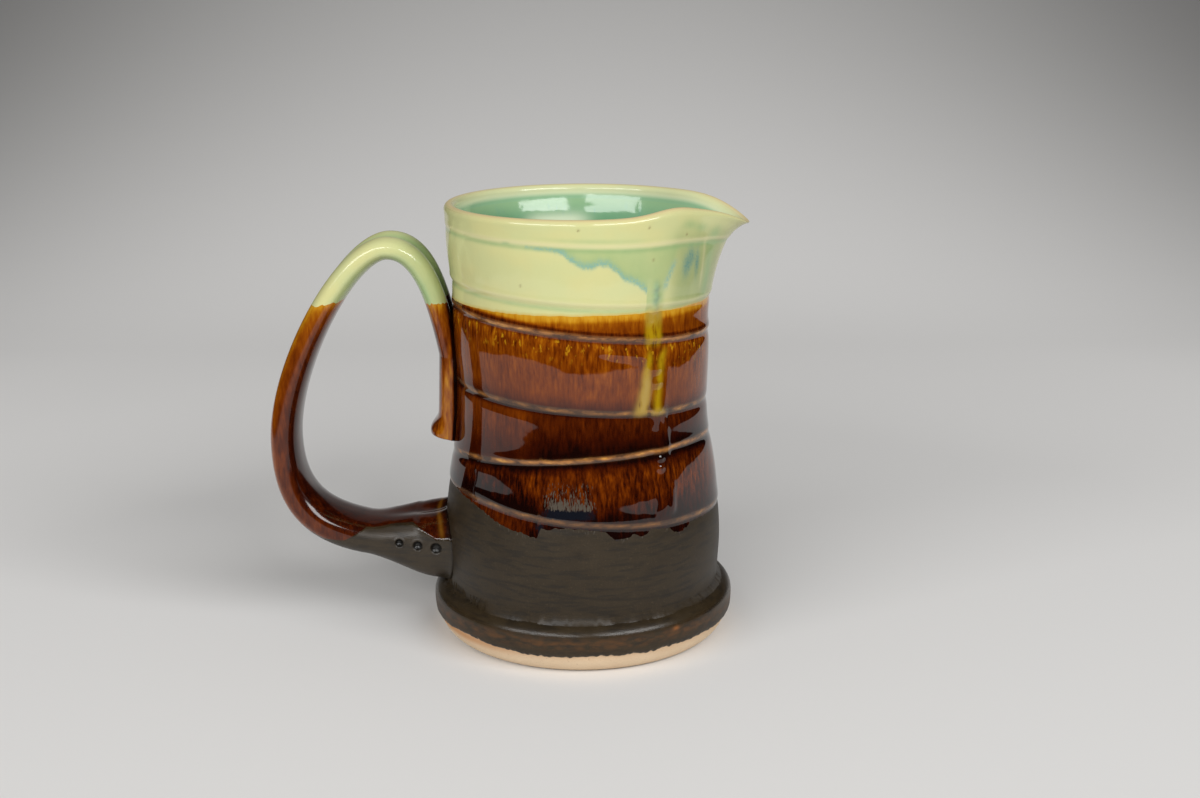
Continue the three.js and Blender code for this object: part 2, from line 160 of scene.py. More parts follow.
def rib_relief(angle, z):
    """Crests that run out slowly upwards, less grooves that run out downwards, on bands that swell as
    parabolas between crests, with the wall pressed in and swollen low on the front."""
    above = z - crest_heights(angle)
    crest = bell(above, np.where(above > 0, by_rib(crest_rise, angle), crest_width))
    groove = bell(above + groove_drop, np.where(above + groove_drop > 0, groove_width, groove_run_out))
    relief = (by_rib(crest_relief, angle) * crest - by_rib(groove_relief, angle) * groove).sum(0)
    band = above[:-1] - above[1:]
    share = np.clip(above[:-1] / band, 0, 1)
    relief = relief + (by_rib(band_bulge, angle) * band * 4 * share * (1 - share)).sum(0)
    for turn, middle, width, spread, out in presses:
        relief = relief + out * bell(angle - turn, width) * bell(z - middle, spread)
    return relief * smoothstep(lip_centre - z, 0, lip_smooth)


# Pouring lip, pulled out and down over its middle, with a raised shoulder on its near side
spout_reach = 0.0081
spout_drop = 0.0044
spout_depth = 0.0345
spout_angle = math.radians(26)
spout_point = 2.3
spout_droop = 2.0
spout_out_ease = 3.6
spout_down_ease = 5.4
shoulder_lift = 0.00125
shoulder_turn = math.radians(-47)
shoulder_width = math.radians(15)


def wall_points(angle, radius, z):
    """Points at an angle, a radius and a height, moved out and up by the pull of the pouring lip."""
    pulled = np.maximum(0, (z - lip_centre + spout_depth) / spout_depth)
    off = (angle + math.pi) % (2 * math.pi) - math.pi
    across = bell(off, spout_angle, spout_point)
    shoulder = bell(off - shoulder_turn, shoulder_width)
    reach = radius + spout_reach * across * pulled**spout_out_ease
    up = (shoulder_lift * shoulder - spout_drop * across**spout_droop) * pulled**spout_down_ease
    return np.stack([reach * np.cos(angle), reach * np.sin(angle), z + up], axis=-1)


def turned(columns):
    """Angles of the columns round the jug, as one row, starting opposite the pouring lip."""
    return (2 * math.pi * np.arange(columns) / columns - math.pi)[None, :]


def ring_normals(points):
    """Normals of a grid that closes round its columns: across the columns times along the rows."""
    across = np.roll(points, -1, axis=1) - np.roll(points, 1, axis=1)
    along = np.gradient(points, axis=0)
    normals = np.cross(across, along)
    return normals / np.maximum(np.linalg.norm(normals, axis=-1, keepdims=True), 1e-12)


def ring_faces(rows, columns, joined):
    """Quads between each row and the next one, closed round the columns, and end to end if joined."""
    row = np.arange(rows if joined else rows - 1)[:, None]
    column = np.arange(columns)[None, :]
    above = (row + 1) % rows
    beside = (column + 1) % columns
    first, second = row * columns, above * columns
    corners = [first + column, first + beside, second + beside, second + column]
    return np.stack(np.broadcast_arrays(*corners), axis=-1).reshape(-1, 4)


def new_piece(name, points, normals, marks, poles=None):
    """A closed piece from a grid of rows: a ring joined end to end, or one that ends in two poles.
    Marks are values at the grid's points, kept as attributes for the finish."""
    rows, columns = points.shape[:2]
    faces = ring_faces(rows, columns, poles is None).tolist()
    vertices = points.reshape(-1, 3)
    shading = normals.reshape(-1, 3)
    if poles is not None:
        first, last = vertices.shape[0], vertices.shape[0] + 1
        column = np.arange(columns)
        beside = (column + 1) % columns
        top = (rows - 1) * columns
        faces += np.stack([np.full(columns, first), beside, column], axis=-1).tolist()
        faces += np.stack([np.full(columns, last), top + column, top + beside], axis=-1).tolist()
        vertices = np.concatenate([vertices, poles])
        shading = np.concatenate([shading, normals[[0, -1]].mean(axis=1)])
    mesh = bpy.data.meshes.new(name)
    mesh.from_pydata(vertices, [], faces, shade_flat=False)
    for mark, values in marks.items():
        values = np.broadcast_to(values, (rows, columns)).ravel()
        if poles is not None:
            values = np.concatenate([values, values[:1], values[-1:]])
        attribute = mesh.attributes.new(mark, "FLOAT", "POINT")
        attribute.data.foreach_set("value", values.astype(np.float32))
    mesh.normals_split_custom_set_from_vertices(shading)
    piece = bpy.data.objects.new(name, mesh)
    bpy.context.scene.collection.objects.link(piece)
    return piece


def wavering(angle, finest, seed):
    """A line that wavers round the jug by about 1: cosines of the angle with random phases."""
    waves = np.arange(2, finest)
    phases = np.random.default_rng(seed).uniform(0, 2 * math.pi, waves.size)
    weights = waves**-0.5
    total = (weights * np.cos(waves * angle[..., None] + phases)).sum(-1)
    return total / math.sqrt((weights**2).sum() / 2)


def arc(start, end, steps):
    """Angles from start to end without both ends."""
    return np.linspace(start, end, steps + 2)[1:-1]


pole_ring = 0.002


def inner_profile(top, inset, pitch):
    """Radii and heights down the inside, round the floor's corner and along the floor to the middle."""
    corner_top = floor_thickness + floor_corner
    down = np.linspace(top, corner_top, int((top - corner_top) / pitch))
    turn = arc(0, math.pi / 2, 24)
    middle = cavity_radius(corner_top) - floor_corner
    round_corner = floor_corner - inset
    flat = np.linspace(middle, pole_ring, int(middle / pitch))
    radius = [cavity_radius(down) - inset, middle + round_corner * np.cos(turn), flat]
    level = [down, corner_top - round_corner * np.sin(turn), np.full(flat.size, floor_thickness + inset)]
    return np.concatenate(radius)[:, None], np.concatenate(level)[:, None]


base_edge = 0.0006
toast_spread = 0.0014
toast_least = 0.25
angle = turned(288)
under = np.linspace(pole_ring, base_radius - base_edge, 40)
edge_turn = arc(0, math.pi / 2, 4)
edge_out = base_radius - base_edge * (1 - np.sin(edge_turn))
edge_up = base_edge * (1 - np.cos(edge_turn))
up_foot = foot_middle * (1 - np.cos(np.linspace(0.36, math.pi / 2, 40)))
up_crease = foot_middle + (foot_height - foot_middle) * np.sin(np.linspace(0, math.pi / 2, 24))[1:]
up_wall = np.linspace(foot_height, lip_centre, 100)[1:]
over_lip = arc(0, math.pi, 10)
lip_middle = lip_radius - lip_wall / 2
inside_radius, inside_level = inner_profile(lip_centre, 0, 0.0015)

outside_level = np.concatenate([up_foot, up_crease, up_wall])
radius = np.concatenate([
    under,
    edge_out,
    clay_radius(outside_level),
    lip_middle + lip_wall / 2 * np.cos(over_lip),
])[:, None]
level = np.concatenate([
    np.zeros(under.size),
    edge_up,
    outside_level,
    lip_centre + lip_wall / 2 * np.sin(over_lip),
])[:, None]
relief = np.where(level < lip_centre, rib_relief(angle, level), 0)
relief = relief * smoothstep(level, foot_height, relief_start)
radius = np.concatenate([radius + relief, inside_radius + 0 * angle])
level = np.concatenate([level, inside_level])
points = wall_points(angle + 0 * level, radius, level + 0 * angle)
poles = [(0, 0, 0), (0, 0, floor_thickness)]
toast_side = toast_least + (1 - toast_least) * smoothstep(-np.cos(angle), 0.2, 0.9)
toast = bell(level - bare_height, toast_spread) * toast_side
clay_body = new_piece("thrown_body_clay", points, ring_normals(points), {"toast": toast}, poles)


def finish(name, **plain):
    """A new node material whose shader has these plain values, its node tree and its shader."""
    material = bpy.data.materials.new(name)
    material.use_nodes = True
    shader = material.node_tree.nodes["Principled BSDF"]
    for socket, value in plain.items():
        shader.inputs[socket.replace("_", " ")].default_value = value
    return material, material.node_tree, shader


def feed(tree, socket, value):
    """Gives a socket a plain value, a plain colour or another node's output."""
    if isinstance(value, bpy.types.NodeSocket):
        tree.links.new(value, socket)
    else:
        socket.default_value = (*value, 1) if isinstance(value, tuple) else value


def place(tree):
    """The point on the piece, in metres in the jug's own frame."""
    node = tree.nodes.get("Texture Coordinate") or tree.nodes.new("ShaderNodeTexCoord")
    return node.outputs["Object"]


def mark(tree, name):
    """A value kept on the piece's points."""
    node = tree.nodes.new("ShaderNodeAttribute")
    node.attribute_name = name
    return node.outputs["Fac"]


def grain(tree, size, long=1.0, detail=2.0, rough=0.5):
    """Noise from 0 to 1 with grains of a size in metres, drawn out by a factor up the jug."""
    mapping = tree.nodes.new("ShaderNodeMapping")
    mapping.inputs["Scale"].default_value = (1, 1, 1 / long)
    tree.links.new(place(tree), mapping.inputs["Vector"])
    noise = tree.nodes.new("ShaderNodeTexNoise")
    noise.inputs["Scale"].default_value = 1 / size
    noise.inputs["Detail"].default_value = detail
    noise.inputs["Roughness"].default_value = rough
    tree.links.new(mapping.outputs["Vector"], noise.inputs["Vector"])
    return noise.outputs["Fac"]


def figured(tree, operation, first, second):
    """One arithmetic step on two values."""
    node = tree.nodes.new("ShaderNodeMath")
    node.operation = operation
    feed(tree, node.inputs[0], first)
    feed(tree, node.inputs[1], second)
    return node.outputs[0]


def times(tree, first, second):
    """Product of two values."""
    return figured(tree, "MULTIPLY", first, second)


def added(tree, first, second):
    """Sum of two values."""
    return figured(tree, "ADD", first, second)


def eased(tree, value, low, high):
    """0 below low, 1 above high and an eased step between."""
    node = tree.nodes.new("ShaderNodeMapRange")
    node.interpolation_type = "SMOOTHSTEP"
    feed(tree, node.inputs["Value"], value)
    node.inputs["From Min"].default_value = low
    node.inputs["From Max"].default_value = high
    return node.outputs["Result"]


def between(tree, share, low, high):
    """A value from low to high by a share."""
    node = tree.nodes.new("ShaderNodeMix")
    feed(tree, node.inputs[0], share)
    feed(tree, node.inputs[2], low)
    feed(tree, node.inputs[3], high)
    return node.outputs[0]


def laid(tree, share, under, over):
    """One colour laid over another by a share."""
    node = tree.nodes.new("ShaderNodeMix")
    node.data_type = "RGBA"
    feed(tree, node.inputs[0], share)
    feed(tree, node.inputs[6], under)
    feed(tree, node.inputs[7], over)
    return node.outputs[2]


def tinted(tree, colour, *tints):
    """A colour with tints laid over it in turn, each where a mark is, by a weight."""
    for name, weight, tint in tints:
        colour = laid(tree, times(tree, mark(tree, name), weight), colour, tint)
    return colour


def surfaced(tree, shader, colour, rough, level, depth):
    """Gives the shader its colour, its roughness and a fine relief of a depth in metres."""
    feed(tree, shader.inputs["Base Color"], colour)
    feed(tree, shader.inputs["Roughness"], rough)
    bump = tree.nodes.new("ShaderNodeBump")
    bump.inputs["Distance"].default_value = depth
    tree.links.new(level, bump.inputs["Height"])
    tree.links.new(bump.outputs["Normal"], shader.inputs["Normal"])


def bare_clay(name):
    """Buff stoneware with sandy grain and dark specks, toasted orange along the glaze."""
    material, tree, shader = finish(name)
    cloudy = grain(tree, 0.006, detail=3)
    sandy = grain(tree, 0.0004, detail=3, rough=0.7)
    colour = laid(tree, cloudy, (0.66, 0.48, 0.31), (0.76, 0.60, 0.41))
    colour = laid(tree, eased(tree, sandy, 0.60, 0.76), colour, (0.42, 0.27, 0.15))
    colour = laid(tree, mark(tree, "toast"), colour, (0.52, 0.26, 0.11))
    surfaced(tree, shader, colour, 0.82, sandy, 0.00012)
    return material


clay_body.data.materials.append(bare_clay("bare_clay"))
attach(clay_body, "root")
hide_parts("thrown_body")

# Handle clay and slip
# The handle is one pulled strap of the same clay, luted to the wall with slip at its tail and its root.
# Glaze covers all three, so the built solids stay and only take their finish.
for node in ("pulled_handle", "upper_slip_joint", "lower_slip_joint"):
    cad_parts[node].data.materials.clear()
    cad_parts[node].data.materials.append(clay_body.data.materials[0])

# Lining glaze
# A green celadon poured into the jug and out again, so it is one smooth skin over the wall and floor.
# It is palest at the lip, where it runs thin.
glaze = 0.0004
ring_relief = 0.00015
ring_pitch = 0.011
thin_height = 0.1098
thin_spread = 0.0024
thin_turn = math.radians(103)
thin_reach = math.radians(17)
lip_turn = 0.004
turn_end = height - lip_turn
angle = turned(360)
face_radius, face_level = inner_profile(turn_end, coat, 0.001)
back_radius, back_level = inner_profile(turn_end, coat - glaze, 0.006)
ghost_level = 2 * face_level[:1] - face_level[1:2]
ghost_radius = cavity_radius(ghost_level) - coat


def inside_points(radius, level):
    """The inside, with slow rings that throwing left in it."""
    rings = ring_relief * np.sin(2 * math.pi * level / ring_pitch + angle)
    rings = rings * smoothstep(level, 0.015, 0.03) * smoothstep(turn_end - level, 0, 0.006)
    return wall_points(angle + 0 * level, radius + rings, level + 0 * angle)


face = inside_points(
    np.concatenate([ghost_radius, face_radius]),
    np.concatenate([ghost_level, face_level]),
)
face_normals = ring_normals(face)[1:]
face = face[1:]
back = inside_points(back_radius, back_level)
points = np.concatenate([back[::-1], face])
normals = np.concatenate([-ring_normals(back)[::-1], face_normals])
poles = [(0, 0, floor_thickness + coat - glaze), (0, 0, floor_thickness + coat)]
level = np.concatenate([back_level[::-1], face_level])
thin = bell(level - thin_height, thin_spread) * bell(angle - thin_turn, thin_reach, 4)
lining = new_piece("lining_glaze_skin", points, normals, {"thin": thin}, poles)


def coordinate(tree, axis):
    """One coordinate of the point on the piece, in metres."""
    split = tree.nodes.new("ShaderNodeSeparateXYZ")
    tree.links.new(place(tree), split.inputs["Vector"])
    return split.outputs[axis]


def celadon(name):
    """Clear green gloss, paler near the lip, bluer where it is thick, with painted shade towards the
    handle and painted light towards the spout.
    """
    material, tree, shader = finish(name)
    cloudy = grain(tree, 0.012, long=0.7, detail=3)
    streaky = grain(tree, 0.0022, long=5, detail=2)
    colour = laid(tree, cloudy, (0.10, 0.27, 0.15), (0.20, 0.40, 0.22))
    colour = laid(tree, eased(tree, streaky, 0.56, 0.72), colour, (0.10, 0.30, 0.24))
    # Painted shade darkens the lining on the handle's side, and painted light lightens it on the spout's
    # side
    painted_shade = times(tree, eased(tree, coordinate(tree, "X"), -0.014, -0.031), 0.6)
    colour = laid(tree, painted_shade, colour, (0.06, 0.17, 0.09))
    painted_light = times(tree, eased(tree, coordinate(tree, "X"), 0.002, 0.020), 0.6)
    colour = laid(tree, painted_light, colour, (0.24, 0.46, 0.27))
    near_lip = eased(tree, coordinate(tree, "Z"), 0.110, 0.1170)
    colour = laid(tree, near_lip, colour, (0.30, 0.48, 0.26))
    colour = laid(tree, mark(tree, "thin"), colour, (0.72, 0.80, 0.58))
    surfaced(tree, shader, colour, 0.10, grain(tree, 0.007), 0.0002)
    return material


lining.data.materials.append(celadon("celadon_lining"))
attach(lining, "root")
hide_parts("lining_glaze")

# Bronze glaze
# A satin brown-black glaze on the foot and the lower wall, dipped first and wiped off above the base.
# It breaks to brown on the crest of the foot, and its upper edge melted raggedly into the amber.
columns = 640
row_pitch = 0.00045
bronze_waver = 0.00018
foot_waver = 0.00020
foot_lift = 0.0009
lift_turn = math.radians(-136)
lift_reach = math.radians(16)

# Upper edge of the bronze under the lowest crest: how far it dips at a few angles
dip_angles = np.radians([
    -180, -163, -150, -137, -129, -115, -108.5, -107, -99, -92, -81, -79.5, -76.5, -71,
    -69.5, -68.5, -66, -63.5, -62, -53, -50, -47, -41, -38, -22, 60, 180,
])
dip_depths = 1e-3 * np.array([
    0.6, 0.8, 1.6, 2.8, 4.0, 5.0, 5.2, 2.4, 1.6, 1.6, 1.7, 2.6, 4.1, 3.2,
    1.9, 2.4, 3.0, 2.5, 1.5, 1.4, 3.0, 3.6, 2.6, 1.5, 1.4, 1.0, 0.6,
])


def bronze_line(angle):
    """Upper edge of the bronze: under the lowest crest, lowest on the near left, ragged."""
    dip = np.interp(angle, dip_angles, dip_depths)
    return crest_heights(angle)[0] - dip + bronze_waver * wavering(angle, 190, 4)


def foot_line(angle):
    """Lower edge of the bronze, wiped clean, slightly jagged and a little higher on the left."""
    lift = foot_lift * bell(angle - lift_turn, lift_reach)
    return bare_height + lift + foot_waver * wavering(angle, 180, 2)


def along_wall(angle, turn):
    """Distance along the wall from a turn in degrees."""
    return ((angle - np.radians(turn) + math.pi) % (2 * math.pi) - math.pi) * waist_radius


# A run of glaze from the cream far down the amber: its turn at a few heights, the heights between which
# it and the line down its middle rise and fall, how deep it lies, and its beads
run_heights = 1e-3 * np.array([42.6, 47.9, 54.0, 59.6, 63.7, 70.0, 76.6, 88.0, 96.0, 102.0])
run_turns = np.array([-55.0, -54.1, -55.5, -55.0, -55.2, -56.5, -55.7, -57.0, -57.6, -57.9])
run_ends = (0.040, 0.043, 0.084, 0.090)
line_ends = (0.041, 0.044, 0.1015, 0.1050)
run_width = 0.0026
run_aside = 0.0010
run_depths = ((0.042, 0.058, 0.070, 0.086), (0.00075, 0.00075, 0.00070, 0.0))
line_width = 0.0010
line_relief = 0.00015
run_beads = np.array([0.1019, 0.0994, 0.0963, 0.0803, 0.0766, 0.0690, 0.0565, 0.0540])
bead_spread = 0.00075
bead_relief = 0.00044
# The ledge under the upper rib, the edge along the top of the foot, and how far up from the line where
# it was wiped the coat gets its full depth
ledge_turn = -73
ledge_middle = 0.0853
ledge_slope = 0.0060
ledge_reach = 0.0062
ledge_spread = 0.0012
ledge_relief = 0.00016
foot_edge_height = 0.0117
foot_edge_spread = 0.0013
foot_edge_relief = 0.00014
wiped_edge = 0.0011


def run_mark(angle, z):
    """How much of the run's middle line each point has: a bell across it, faded at its two ends."""
    turn = np.interp(z, run_heights, run_turns)
    return bell(along_wall(angle, turn), line_width) * faded(z, *line_ends)


def glazed_points(angle, z, depth):
    """The glazed wall at an angle and a height, with the ribs, a shallow ledge under the upper rib, the
    edge along the top of the foot, and the run, which lies smooth over the ribs with a beaded line down
    its middle; depth is the share of the full coat that lies there."""
    ledge_height = ledge_middle - ledge_slope * (angle - math.radians(ledge_turn))
    ledge = bell(z - ledge_height, ledge_spread) * bell(along_wall(angle, ledge_turn), ledge_reach, 6)
    relief = rib_relief(angle, z) * smoothstep(z, foot_height, relief_start) + ledge_relief * ledge
    across = along_wall(angle, np.interp(z, run_heights, run_turns)) - run_aside
    run = bell(across, run_width, 4) * faded(z, *run_ends)
    relief = relief + run * (np.interp(z, *run_depths) - relief)
    bead = bell(z[..., None] - run_beads, bead_spread).sum(-1)
    line = run_mark(angle, z) * (line_relief + bead_relief * bead)
    line = line + foot_edge_relief * bell(z - foot_edge_height, foot_edge_spread)
    return wall_points(angle, clay_radius(z) + relief + coat * depth + line, z)


def shelled(name, face, normals, marks, back_count, capped=False):
    """A coat from its face: a back a glaze's depth under it, on fewer rows, joined to it at the edges,
    or closed at two poles if capped."""
    back_rows = np.unique(np.linspace(face.shape[0] - 1, 0, back_count).astype(int))[::-1]
    back = face[back_rows] - normals[back_rows] * glaze
    both = {}
    for mark_name, values in marks.items():
        values = np.broadcast_to(values, face.shape[:2])
        both[mark_name] = np.concatenate([values, values[back_rows]])
    points = np.concatenate([face, back])
    shading = np.concatenate([normals, -normals[back_rows]])
    poles = [face[0].mean(axis=0), back[-1].mean(axis=0)] if capped else None
    return new_piece(name, points, shading, both, poles)


def wall_coat(name, low, high, marks_at, depth_at=None):
    """A coat between two lines round the wall, row by row from the lower one to the upper one."""
    angle = turned(columns)
    rows = int(np.ptp([low(angle).min(), high(angle).max()]) / row_pitch)
    share = np.linspace(-1 / rows, 1 + 1 / rows, rows + 3)[:, None]
    z = low(angle) + (high(angle) - low(angle)) * share
    angle = angle + 0 * z
    depth = 1 if depth_at is None else depth_at(angle, z)
    face = glazed_points(angle, z, depth)
    marks = marks_at(angle[1:-1], z[1:-1])
    return shelled(name, face[1:-1], ring_normals(face)[1:-1], marks, rows // 8)


def rounded_edge(angle, z):
    """The coat's depth, rounded off to nothing at the line where it was wiped."""
    share = np.clip((z - foot_line(angle)) / wiped_edge, 0, 1)
    return np.sqrt(1 - (1 - share) ** 2)


def dabs(angle, z, spots):
    """Soft spots on the wall, each a bell both ways: its turn in degrees, height, width, tallness and
    strength."""
    total = 0 * z
    for turn, middle, wide, tall, strength in spots:
        total = total + strength * bell(along_wall(angle, turn), wide) * bell(z - middle, tall)
    return total


# Heights of the foot's worn crest and of its sheen, a scored line, its height at a few angles, and a
# fleck, with its turn, height, width, tallness and strength
worn_height = foot_middle
sheen_height = 0.0119
foot_band = 0.0015
score_angles = np.radians([-180, -146, -120, -101, -84, -71, -51, 0, 90, 180])
score_heights = 1e-3 * np.array([21.2, 22.3, 23.7, 22.3, 20.6, 19.8, 19.0, 19.5, 22.0, 21.2])
score_width = 0.00035
foot_flecks = ((-54, 0.0108, 0.0008, 0.0005, 1.0),)


def bronze_marks(angle, z):
    """Where the foot's crest wears thin and where it shines, how far below its melted upper edge a point
    lies, a scored line round the wall and one orange fleck on the foot."""
    return {
        "crest": bell(z - worn_height, foot_band),
        "sheen": bell(z - sheen_height, foot_band),
        "below": bronze_line(angle) - z,
        "score": bell(z - np.interp(angle, score_angles, score_heights), score_width),
        "fleck": dabs(angle, z, foot_flecks),
    }


bronze_coat = wall_coat("bronze_glaze_skin", foot_line, bronze_line, bronze_marks, rounded_edge)


def bronze_look(tree):
    """Colour, roughness and relief of the satin bronze."""
    cloudy = grain(tree, 0.005, long=0.6, detail=3)
    fine = grain(tree, 0.0006, detail=3, rough=0.65)
    ringed = grain(tree, 0.0016, long=0.12, detail=2)
    hairy = grain(tree, 0.0005, long=9, detail=2)
    colour = laid(tree, cloudy, (0.022, 0.014, 0.006), (0.037, 0.025, 0.012))
    colour = laid(tree, eased(tree, fine, 0.56, 0.74), colour, (0.048, 0.032, 0.016))
    hairs = times(tree, eased(tree, hairy, 0.55, 0.80), 0.2)
    colour = laid(tree, hairs, colour, (0.060, 0.036, 0.017))
    rings = eased(tree, grain(tree, 0.007, long=0.16, detail=3), 0.45, 0.68)
    colour = laid(tree, times(tree, rings, 0.6), colour, (0.012, 0.009, 0.006))
    rough = between(tree, cloudy, 0.42, 0.52)
    level = added(tree, times(tree, ringed, 0.7), times(tree, fine, 0.3))
    return colour, rough, level


def bronze(name):
    """Satin bronze that breaks brown on the foot, with pale hairs where it meets the amber."""
    material, tree, shader = finish(name, IOR=1.40)
    colour, rough, level = bronze_look(tree)
    colour = tinted(
        tree, colour,
        ("crest", eased(tree, grain(tree, 0.003, long=0.4), 0.3, 0.7), (0.085, 0.036, 0.010)),
        ("score", 0.6, (0.010, 0.007, 0.004)),
        ("fleck", 0.9, (0.26, 0.09, 0.02)),
    )
    near = eased(tree, mark(tree, "below"), 0.0016, 0.0)
    hairs = eased(tree, grain(tree, 0.0004, long=3.5), 0.58, 0.74)
    colour = laid(tree, times(tree, near, hairs), colour, (0.09, 0.076, 0.060))
    rough = between(tree, mark(tree, "sheen"), rough, 0.26)
    surfaced(tree, shader, colour, rough, level, 0.00004)
    return material


bronze_coat.data.materials.append(bronze("bronze_satin"))
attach(bronze_coat, "root")
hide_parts("bronze_glaze")

# Amber glaze
# A runny glossy brown on the middle of the wall. It flowed down in fine streaks, broke light on the
# crests, pooled nearly black in the grooves and carried one olive run down from the cream.
cream_height = 0.0950
cream_tilt = 0.0005
tilt_turn = math.radians(-75)
cream_waver = 0.00007


def cream_line(angle):
    """Lower edge of the cream, where the amber starts: a nearly level dip line."""
    tilt = cream_tilt * np.cos(angle - tilt_turn)
    return cream_height + tilt + cream_waver * wavering(angle, 120, 7)


# How deep the amber lies in each band, from one crest up to the next, and how streaked it is there:
# shares of the way up, depths and streaks
band_shares = (
    (0.0, 0.08, 0.22, 0.45, 0.72, 0.84, 0.91, 1.0),
    (0.0, 0.10, 0.25, 0.50, 0.75, 0.86, 0.92, 1.0),
    (0.0, 0.08, 0.20, 0.50, 0.80, 0.90, 0.95, 1.0),
)
band_depths = (
    (0.95, 0.98, 0.90, 0.77, 0.73, 0.84, 1.02, 0.95),
    (0.95, 1.00, 0.95, 0.85, 0.79, 0.80, 0.99, 0.95),
    (0.88, 0.74, 0.60, 0.58, 0.57, 0.50, 0.72, 0.74),
)
band_streaks = (
    (0.2, 0.3, 0.6, 0.8, 0.8, 0.4, 0.2, 0.1),
    (0.1, 0.1, 0.2, 0.3, 0.4, 0.3, 0.1, 0.1),
    (0.1, 0.2, 0.35, 0.50, 0.85, 0.95, 0.5, 0.3),
)
# Depth by distance under the cream, the dark line over the fourth crest, and depth under the lowest
# crest by turn
cream_depths = ((0, 0.0012, 0.0022, 0.0042), (0.0, 0.13, 0.42, 0.55))
dark_over = 0.0010
dark_spread = 0.0009
dark_depth = 0.82
lowest_depths = ((-150, -122, -112, -109, -60, -45, 0), (0.78, 0.78, 0.86, 0.98, 1.0, 0.98, 0.9))
# On the far left, between two turns, the amber is painted darker under the second crest and thinner over
# it
# The darker amber under the second crest is a painted dark reflection of the handle
far_left_turns = (-106, -118)
far_left_drop = (0.0010, 0.0020)
far_left_reflection_and_depths = (0.12, -0.13)
# The two olive streaks of the run: their turns and the left one's width at a few heights, and the
# heights between which the streaks and the straw in them rise and fall
olive_heights = np.array([0.0687, 0.0724, 0.0762, 0.0800, 0.0830, 0.0857])
olive_left = np.array([-63.7, -62.3, -61.4, -61.3, -60.0, -59.8])
olive_right = np.array([-55.9, -55.8, -55.0, -54.2, -53.5, -51.8])
olive_widths = ((0.069, 0.078, 0.086), (0.0017, 0.0012, 0.0008))
olive_right_width = 0.0011
olive_ends = (0.0675, 0.0700, 0.083, 0.087)
straw_ends = (0.0675, 0.0700, 0.076, 0.082)
# The broad upper end of the run, where it turns olive and then straw, and a patch on the third crest
run_top_turn = -57.8
run_top_width = 0.0025
olive_start = (0.085, 0.089)
straw_start = (0.0905, 0.0955)
patch_turn = -58
patch_width = 0.0036
patch_spread = 0.0008
# The bloom's place and its strength by height, the dark pools under it and beside it, and gold flecks
# by their distance under the fourth crest
bloom_turn = -95.6
bloom_reach = 0.0066
bloom_strengths = ((0.0440, 0.0452, 0.0462, 0.0475, 0.0505, 0.0535), (0, 0.70, 0.66, 0.45, 0.32, 0.0))
blue_ends = (0.0418, 0.0426, 0.0446, 0.0458)
beside_turn = -107.5
beside_width = 0.0012
beside_ends = (0.0010, 0.0016, 0.0030, 0.0046)
fleck_ends = (0.0012, 0.0020, 0.0030, 0.0085)
crest_strengths = np.array([0.40, 1.0, 0.65, 1.0, 0.0, 0.0])
crest_core = 0.00045
crest_drop = 0.0001
# Width and drop of the grey ribbons on the crests' undersides, a painted reflection of the pale floor
ribbon_width = 0.00095
ribbon_drop = 0.0002


def run_top(angle):
    """The broad upper end of the run, where it leaves the cream."""
    return bell(along_wall(angle, run_top_turn), run_top_width, 6)


def amber_marks(angle, z):
    """Depth and streaks band by band, grey ribbons of painted floor reflection with light crests, the
    olive run, and low on the front a dull bloom over blue-black pooling."""
    above = z - crest_heights(angle)
    under_cream = cream_line(angle) - z
    depth = np.interp(under_cream, *cream_depths)
    depth = np.maximum(depth, dark_depth * bell(above[3] - dark_over, dark_spread))
    streak = 0.5 + 0 * depth
    for band in range(3):
        share = above[band] / (above[band] - above[band + 1])
        inside = (share >= 0) & (share < 1)
        depth = np.where(inside, np.interp(share, band_shares[band], band_depths[band]), depth)
        streak = np.where(inside, np.interp(share, band_shares[band], band_streaks[band]), streak)
    side = np.degrees(angle)
    far_left = smoothstep(side, *far_left_turns) * smoothstep(-above[2], *far_left_drop)
    # A painted dark reflection of the handle under the second crest, and thinner amber over it
    depth = depth + far_left * np.where(above[1] < 0, *far_left_reflection_and_depths)
    depth = np.where(above[0] < 0, np.interp(side, *lowest_depths), depth)
    left = along_wall(angle, np.interp(z, olive_heights, olive_left))
    left = bell(left, np.interp(z, *olive_widths))
    right = along_wall(angle, np.interp(z, olive_heights, olive_right))
    olive = np.maximum(left, bell(right, olive_right_width)) * faded(z, *olive_ends)
    olive = np.maximum(olive, run_top(angle) * smoothstep(z, *olive_start))
    straw = left * faded(z, *straw_ends)
    patch = bell(along_wall(angle, patch_turn), patch_width, 4) * bell(above[2], patch_spread)
    straw = np.maximum(straw, patch)
    straw = np.maximum(straw, run_top(angle) * smoothstep(z, *straw_start))
    front = bell(along_wall(angle, bloom_turn), bloom_reach, 6)
    beside = bell(along_wall(angle, beside_turn), beside_width) * faded(-above[0], *beside_ends)
    return {
        "depth": depth,
        "streak": streak,
        "crest": (by_rib(crest_strengths, angle) * bell(above + crest_drop, crest_core)).sum(0),
        "ribbon": bell(above[:4] + ribbon_drop, ribbon_width).sum(0),
        "olive": olive,
        "straw": straw,
        "bloom": front * np.interp(z, *bloom_strengths),
        "blue": np.maximum(front * faded(z, *blue_ends), beside),
        "flecks": faded(-above[3], *fleck_ends),
    }


amber_coat = wall_coat("amber_glaze_skin", bronze_line, cream_line, amber_marks)


def ramped(tree, value, stops):
    """A colour for each value, blended between stops of a place and a colour."""
    ramp = tree.nodes.new("ShaderNodeValToRGB")
    elements = ramp.color_ramp.elements
    elements.remove(elements[-1])
    for spot, colour in stops:
        element = elements[0] if spot == 0 else elements.new(spot)
        element.color = (*colour, 1)
    feed(tree, ramp.inputs["Fac"], value)
    return ramp.outputs["Color"]


